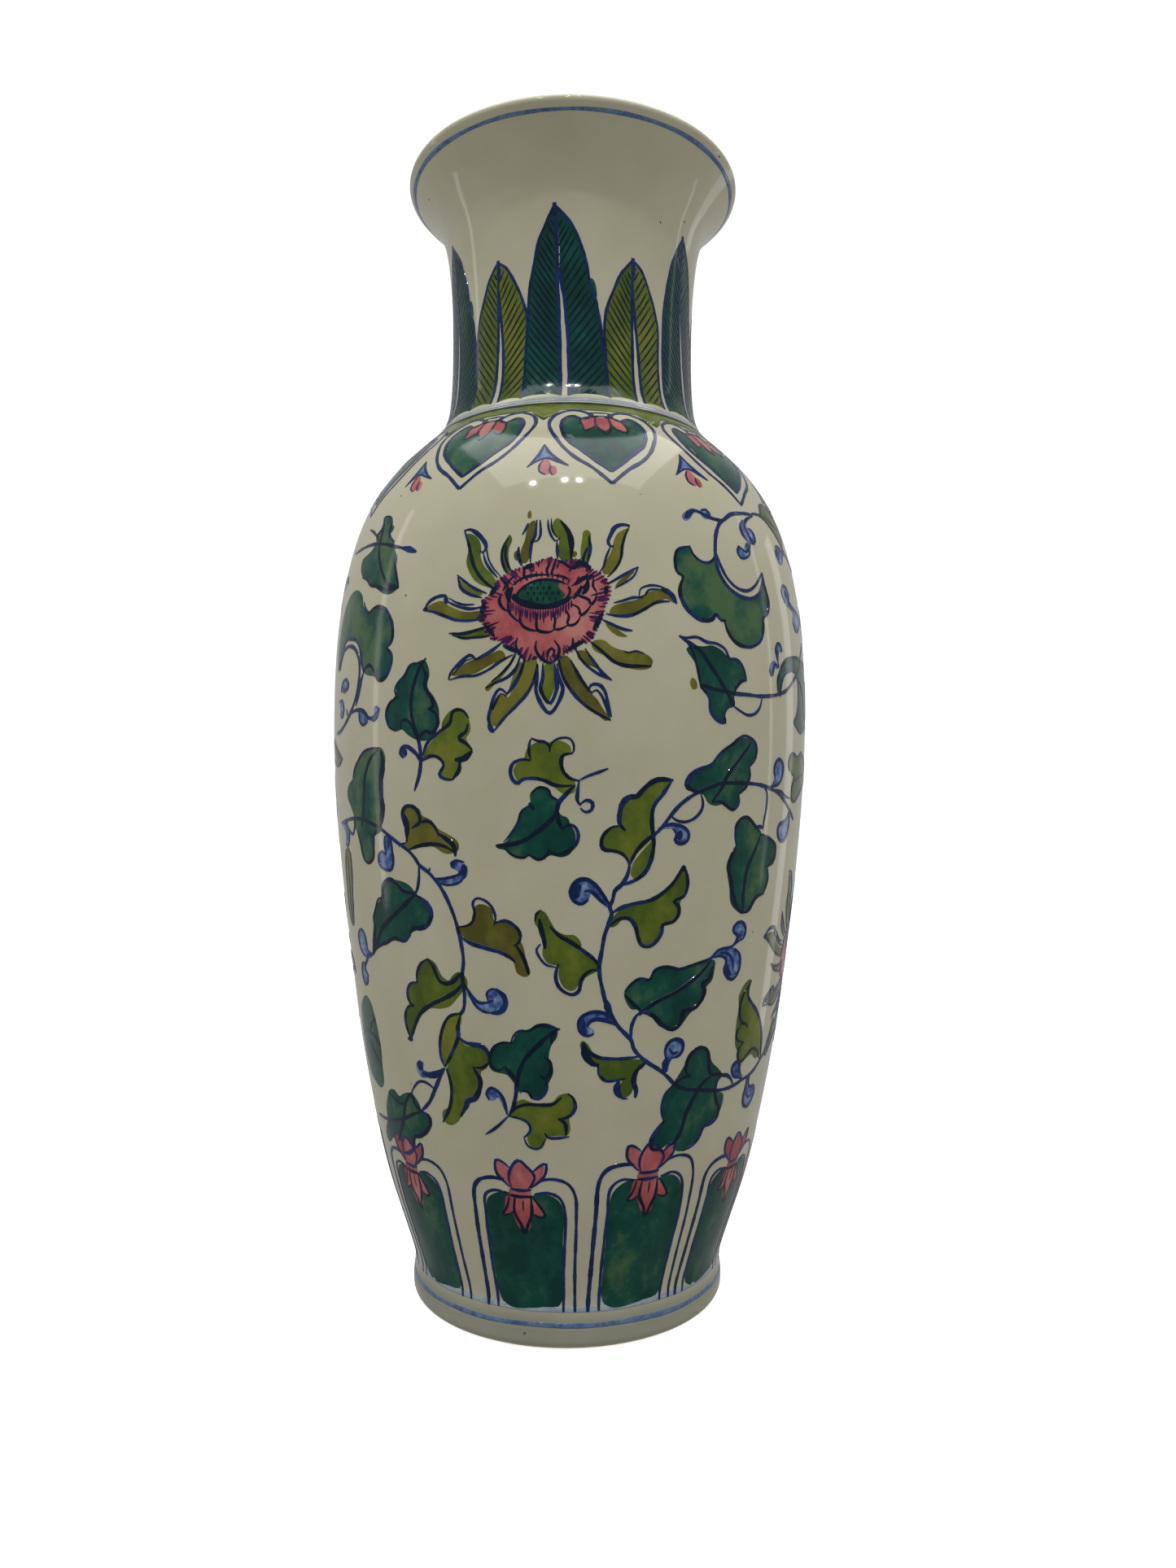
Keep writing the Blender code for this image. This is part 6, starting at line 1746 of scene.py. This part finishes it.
BUD_LINES = (
    (0.8, ((-2.4, 49.4), (-3, 51.8), (-2.7, 54.2), (-0.3, 57.6), (2.2, 55.6), (3.9, 53.1),
           (3.2, 51), (2.1, 49.4))),
    (0.8, ((-2.9, 49.6), (-4.2, 50.9), (-6.4, 53.8), (-6.1, 57.3), (-3.8, 56.4), (-2.8, 55.3))),
    (0.8, ((2.6, 49.6), (4.3, 51), (6.6, 53.8), (6.8, 57.1), (5, 56), (3.6, 54.6))),
    (1.1, ((-2.8, 49.1), (0, 48.8), (2.9, 49.1))),
    (1.1, ((-3, 47.2), (0, 46.9), (3, 47.2))),
    (0.9, ((-1.7, 46.8), (-2.1, 42), (-0.4, 38.3), (0.3, 35.4), (1.4, 38.3), (2.7, 42),
           (2.7, 46.8))),
    (0.7, ((-3.2, 46.9), (-4, 43.9), (-5.5, 40.9), (-3.6, 41.4), (-2.1, 42.6))),
    (0.7, ((3.2, 46.8), (5.2, 43.9), (6.4, 41.2), (4.6, 41.1), (2.8, 42.2))),
    (0.5, ((0.5, 46), (0.4, 42.6))),
)  # fmt: skip
HEAD_START = 38.0
HEAD_FULL = 50.0
BUD_OFFSET = -0.3
FRONT_RISES = (0.5, 0.0, 4.3, 0.5)  # how far the heads of the front panels are raised, in mm
BACK_RISE = 3.5


def lifted(points, centre, rise):
    """A panel's points at its own angle, with everything above the shafts raised."""
    raised = []
    for a, z in points:
        share = min(max((z - HEAD_START) / (HEAD_FULL - HEAD_START), 0.0), 1.0)
        raised.append((centre + a, z + rise * share))
    return raised


panel_outlines = []
panel_brush = Brush(panel_outlines)
buds = Fields()
for index, centre in enumerate(PANELS):
    rise = FRONT_RISES[index] if index < len(FRONT_RISES) else rng.uniform(0.0, BACK_RISE)
    enamel = Fields()
    enamel.fill(lifted(PANEL_FIELD, centre, rise), shade=rng.uniform(0.0, 0.2))
    name = f"foot_panel_{index + 1}"
    enamel.make(name, DARK, (name,))
    panel_outlines.extend(enamel.outlines)
    for petal in BUD_PETALS:
        outline = [(centre + a + BUD_OFFSET, z + rise) for a, z in petal]
        buds.fill(outline, SECOND_TOP, shade=rng.uniform(0.0, 0.5))
    for points, width in ((PANEL_OUTER, 1.1), (PANEL_OUTER_RIGHT, 0.8), (PANEL_INNER, 0.8),
                          (PANEL_INNER_RIGHT, 0.8)):  # fmt: skip
        panel_brush.stroke(width, lifted(points, centre, rise), "blunt")
    for width, points in BUD_LINES:
        panel_brush.stroke(width, shifted(points, centre, rise))
buds.make("panel_buds", ROSE)
panel_brush.make("panel_lines")

# ---------------------------------------------------------------------------------------------
# Scroll and blossoms
# ---------------------------------------------------------------------------------------------

UPPER = (-5.0, 207.0)
LOWER_HEIGHT = 108.0
LOWER_ANGLE = 81.0
LOWER_LEAN = -12.0
BACK = 180.0


def turned_round(by):
    """Carries points round the vase by an angle."""
    return lambda points: np.asarray(points, float) + (by, 0.0)


def moved(origin, angle, height, lean, flip=1.0):
    """Carries points about an origin to another place, keeping their size on the glaze."""
    was, now = TURN * radius_at(origin[1]), TURN * radius_at(height)
    c, s = math.cos(lean * TURN), math.sin(lean * TURN)

    def place(points):
        points = np.asarray(points, float)
        x = (points[:, 0] - origin[0]) * was * flip
        y = points[:, 1] - origin[1]
        return np.stack([angle + (x * c - y * s) / now, height + x * s + y * c], -1)

    return place


def heart_ticks():
    """Short strokes from the rim of the heart inwards, and fringes above and under the pod."""
    ticks = random.Random(11)
    rim = spline(HEART, closed=True, step=1.15)
    middle = np.array((-5.2, 207.0))
    lines = []
    for index, (a, z) in enumerate(rim):
        place = np.array((a, z))
        wave = 0.5 + 0.5 * math.sin(index * 1.05)
        length = (0.07 + 0.15 * wave) * ticks.uniform(0.7, 1.3)
        swing = np.array((ticks.uniform(-0.5, 0.5), ticks.uniform(-0.4, 0.4)))
        outer = place - (middle - place) * 0.02
        inner = place + (middle - place) * length + swing
        width = ticks.uniform(0.45, 0.65) if index % 5 else 1.2
        lines.append((width, (tuple(outer), tuple((outer + inner) / 2 + swing * 0.3), tuple(inner))))
    for i in range(25):
        a = -12.2 + i * 0.51
        top = 209.4 - 2.6 * math.sin(math.pi * i / 24)
        reach = ticks.uniform(1.8, 3.6)
        lines.append((0.55, ((a, top), (a + ticks.uniform(-0.2, 0.2), top - reach))))
    for i in range(11):
        a = -11.2 + i * 1.05
        top = 213.4 + 2.4 * math.sin(math.pi * (i + 0.5) / 11)
        reach = ticks.uniform(1.2, 2.2)
        lines.append((0.5, ((a, top), (a + (a + 5.5) * 0.09, top + reach))))
    return lines


def pod_dots():
    """Rows of seeds in an ellipse within the pod, every second row set between the others."""
    spots = []
    for row, count in enumerate((6, 6, 5, 3)):
        for i in range(count):
            a, rise = -9.3 + 1.25 * i + 0.6 * (row % 2), 1.45 * row
            if ((a + 5.5) / 4.7) ** 2 + ((rise - 1.9) / 3.2) ** 2 < 1:
                spots.append((a, 209.7 + rise))
    return spots


def blossom(name, place):
    """One lotus: petals, rosy heart, seed pod, and all its lines."""
    greens = {MOSS: Fields(), OLIVE: Fields()}
    for kind, outline in PETAL_FIELDS:
        greens[kind].fill(place(outline))
    heart, pod, petal, shadow = Fields(), Fields(), Fields(), Fields()
    heart.fill(place(HEART), HEART_TOP, shade=0.3)
    pod.fill(place(SEED_POD), POD_TOP, shade=0.5)
    petal.fill(place(PETAL_OVER_POD), PETAL_TOP, shade=0.2)
    outlines = [*greens[MOSS].outlines, *greens[OLIVE].outlines, *heart.outlines]
    brush = Brush(outlines)
    brush.strokes(PETAL_LINES, place)
    brush.strokes(HEART_LINES, place)
    ticks = Brush(heart.outlines)
    ticks.strokes(heart_ticks(), place, top=TICK_TOP)
    shadow.fill(place(POD_SHADOW), POD_LINE_TOP)
    brush.dots(place(pod_dots()), 0.5, TICK_TOP)
    brush.strokes([(0.7, SEED_POD, "closed")], place, top=POD_LINE_TOP)
    greens[MOSS].make(f"{name}_moss_petals", MOSS)
    greens[OLIVE].make(f"{name}_olive_petals", OLIVE)
    heart.make(f"{name}_heart", ROSE, (name,))
    pod.make(f"{name}_pod", POD)
    petal.make(f"{name}_petal_over_pod", ROSE)
    dark = add_mesh(f"{name}_pod_shadow", shadow.points, shadow.faces, NAVY)
    store(dark, "shade", shadow.shade)
    brush.make(f"{name}_lines")
    ticks.make(f"{name}_heart_ticks", over=PLUM)


TWIN_SPRIG = (-43, -16, 150, 205)
HANGING_SPRIG = (-16, 12, 135, 175)
RISING_SPRIG = (7.5, 27, 116, 139.5)
FILLERS = (
    # box of the sprig to copy, its middle, where it goes: angle, height, lean, flip
    (TWIN_SPRIG, (-31.0, 178.0), 90.0, 221.0, -16.0, -1.0),
    (HANGING_SPRIG, (-7.0, 158.0), 91.0, 186.0, 14.0, -1.0),
    (RISING_SPRIG, (17.0, 128.0), 95.0, 152.0, 24.0, 1.0),
)


WHOLE = (-180.0, 180.0, 0.0, HEIGHT)


def within(points, box):
    """Whether all points are in a box of angles and heights."""
    low_angle, high_angle, low, high = box
    return all(low_angle <= a <= high_angle and low <= z <= high for a, z in points)


def scroll(name, by):
    """All the leaves, stems and curls of one face of the vase, and copies on its right side."""
    fields = {kind: Fields() for kind in (DARK, MOSS, OLIVE, WASH)}
    copies = [(box, moved(middle, angle + by, *rest)) for box, middle, angle, *rest in FILLERS]
    layouts = [(WHOLE, turned_round(by)), *copies]
    for box, place in layouts:
        for kind, outline in SCROLL_FIELDS:
            if within(outline, box):
                fields[kind].fill(place(outline), WASH_TOP if kind == WASH else FIELD_TOP)
    enamels = [o for kind in (DARK, MOSS, OLIVE) for o in fields[kind].outlines]
    for kind, words in ((DARK, "dark_leaves"), (MOSS, "moss_leaves"), (OLIVE, "olive_leaves"),
                        (WASH, "blue_curls")):  # fmt: skip
        fields[kind].make(f"{name}_{words}", kind)
    brush = Brush(enamels)
    for box, place in layouts:
        brush.strokes([line for line in SCROLL_LINES if within(line[1], box)], place)
    brush.make(f"{name}_lines")


scroll("scroll_front", 0.0)
scroll("scroll_back", BACK)
blossom("upper_blossom_1", turned_round(0.0))
blossom("upper_blossom_2", turned_round(BACK))
blossom("lower_blossom_1", moved(UPPER, LOWER_ANGLE, LOWER_HEIGHT, LOWER_LEAN))
blossom("lower_blossom_2", moved(UPPER, LOWER_ANGLE + BACK, LOWER_HEIGHT, LOWER_LEAN))

# ---------------------------------------------------------------------------------------------
# Floor, light and camera
# ---------------------------------------------------------------------------------------------


FLOOR_SIZE = 30.0
FLOOR_GLOW = 0.72
ROOM_LEVEL, ROOM_RISE, ROOM_BACK, ROOM_FRONT_DIP = 0.53, 0.15, 0.6, 0.14
ROOM_REFLECTED = 0.4  # how much of the room's brightness the gloss of the glaze shows
STRIP_LENGTH = 1.5


def floor_material():
    """Matt near white that glows a little, as an overexposed backdrop does."""
    s = Surface("pale_floor_look", 0.9, 0.1)
    s.shader.inputs["Emission Color"].default_value = WHITE
    s.shader.inputs["Emission Strength"].default_value = FLOOR_GLOW
    tint = s.ramp(s.noise(3.0), (0.3, (0.86, 0.86, 0.85, 1)), (0.7, (0.88, 0.88, 0.87, 1)))
    return s.finish(tint)


mesh = bpy.data.meshes.new("floor")
h = FLOOR_SIZE / 2
mesh.from_pydata([(-h, -h, 0), (h, -h, 0), (h, h, 0), (-h, h, 0)], [], [(0, 1, 2, 3)])
mesh.materials.append(floor_material())
floor = bpy.data.objects.new("floor", mesh)
floor.visible_diffuse = floor.visible_glossy = False
bpy.context.scene.collection.objects.link(floor)


def studio():
    """White behind the vase for the camera; a dim room, brighter behind, lights the vase."""
    world = bpy.data.worlds.new("studio")
    world.use_nodes = True
    tree = world.node_tree
    nodes, links = tree.nodes, tree.links

    def combine(operation, a, b):
        return math_node(tree, operation, a, b)

    split = nodes.new("ShaderNodeSeparateXYZ")
    links.new(nodes.new("ShaderNodeTexCoord").outputs["Generated"], split.inputs["Vector"])
    behind = combine("MAXIMUM", split.outputs["Y"], 0.0)
    before = combine("MAXIMUM", combine("MULTIPLY", split.outputs["Y"], -1.0), 0.0)
    room = combine("ADD", combine("MULTIPLY", split.outputs["Z"], ROOM_RISE), ROOM_LEVEL)
    room = combine("ADD", room, combine("MULTIPLY", combine("POWER", behind, 2.0), ROOM_BACK))
    room = combine("SUBTRACT", room, combine("MULTIPLY", before, ROOM_FRONT_DIP))
    path = nodes.new("ShaderNodeLightPath").outputs
    dimmed = combine("MULTIPLY", path["Is Glossy Ray"], 1.0 - ROOM_REFLECTED)
    room = combine("MULTIPLY", room, combine("SUBTRACT", 1.0, dimmed))
    strength = combine("MAXIMUM", room, path["Is Camera Ray"])
    background = nodes["Background"]
    background.inputs["Color"].default_value = WHITE
    links.new(strength, background.inputs["Strength"])
    return world


bpy.context.scene.world = studio()
bpy.context.scene.view_settings.view_transform = "Standard"


def lamp(name, place, target, size, radiance):
    """A rectangular lamp that shines from a place towards a target, of a given brightness."""
    data = bpy.data.lights.new(name, "AREA")
    data.shape = "RECTANGLE"
    data.size, data.size_y = size
    data.energy = radiance * math.pi * size[0] * size[1]
    made = bpy.data.objects.new(name, data)
    made.location = place
    aim = Vector(target) - Vector(place)
    made.rotation_euler = aim.to_track_quat("-Z", "Y").to_euler()
    bpy.context.scene.collection.objects.link(made)


lamp("ceiling", (0, -0.06, 1.75), (0, -0.06, 0), (1.7, 1.58), 1.72)
for index, x in enumerate((-0.47, -0.08, 0.09)):
    lamp(f"spot_{index + 1}", (x, -0.92, 1.75), (0, 0, 0.25), (0.036, 0.04), 370.0)

for name, angle, distance, width, height, radiance in (
    ("strip_left", -100.0, 1.5, 0.1, 0.55, 1.2),
    ("strip_right", 106.0, 1.6, 0.06, 0.6, 1.1),
    ("strip_far_right", 126.0, 1.8, 0.26, 0.3, 0.7),
):
    x, y = distance * math.sin(angle * TURN), -distance * math.cos(angle * TURN)
    lamp(name, (x, y, height), (0, 0, height), (width, STRIP_LENGTH), radiance)

LENS = 25.05
SENSOR = 36.0
CAMERA_PLACE = Vector((0.0, -363.1, 154.9)) * MM
CAMERA_PITCH, CAMERA_YAW, CAMERA_ROLL = 1.191 * TURN, 0.941 * TURN, 0.274 * TURN
NEAREST = 0.01
c, s = math.cos, math.sin
right = Vector((c(CAMERA_YAW), -s(CAMERA_YAW), 0))
forward = Vector((s(CAMERA_YAW) * c(CAMERA_PITCH), c(CAMERA_YAW) * c(CAMERA_PITCH), s(CAMERA_PITCH)))
up = right.cross(forward)
rolled_right = c(CAMERA_ROLL) * right + s(CAMERA_ROLL) * up
rolled_up = c(CAMERA_ROLL) * up - s(CAMERA_ROLL) * right
camera_data = bpy.data.cameras.new("camera")
camera_data.lens, camera_data.sensor_width = LENS, SENSOR
camera_data.clip_start = NEAREST
camera = bpy.data.objects.new("camera", camera_data)
axes = Matrix((rolled_right, rolled_up, -forward)).transposed()
camera.matrix_world = Matrix.Translation(CAMERA_PLACE) @ axes.to_4x4()
bpy.context.scene.collection.objects.link(camera)
bpy.context.scene.camera = camera
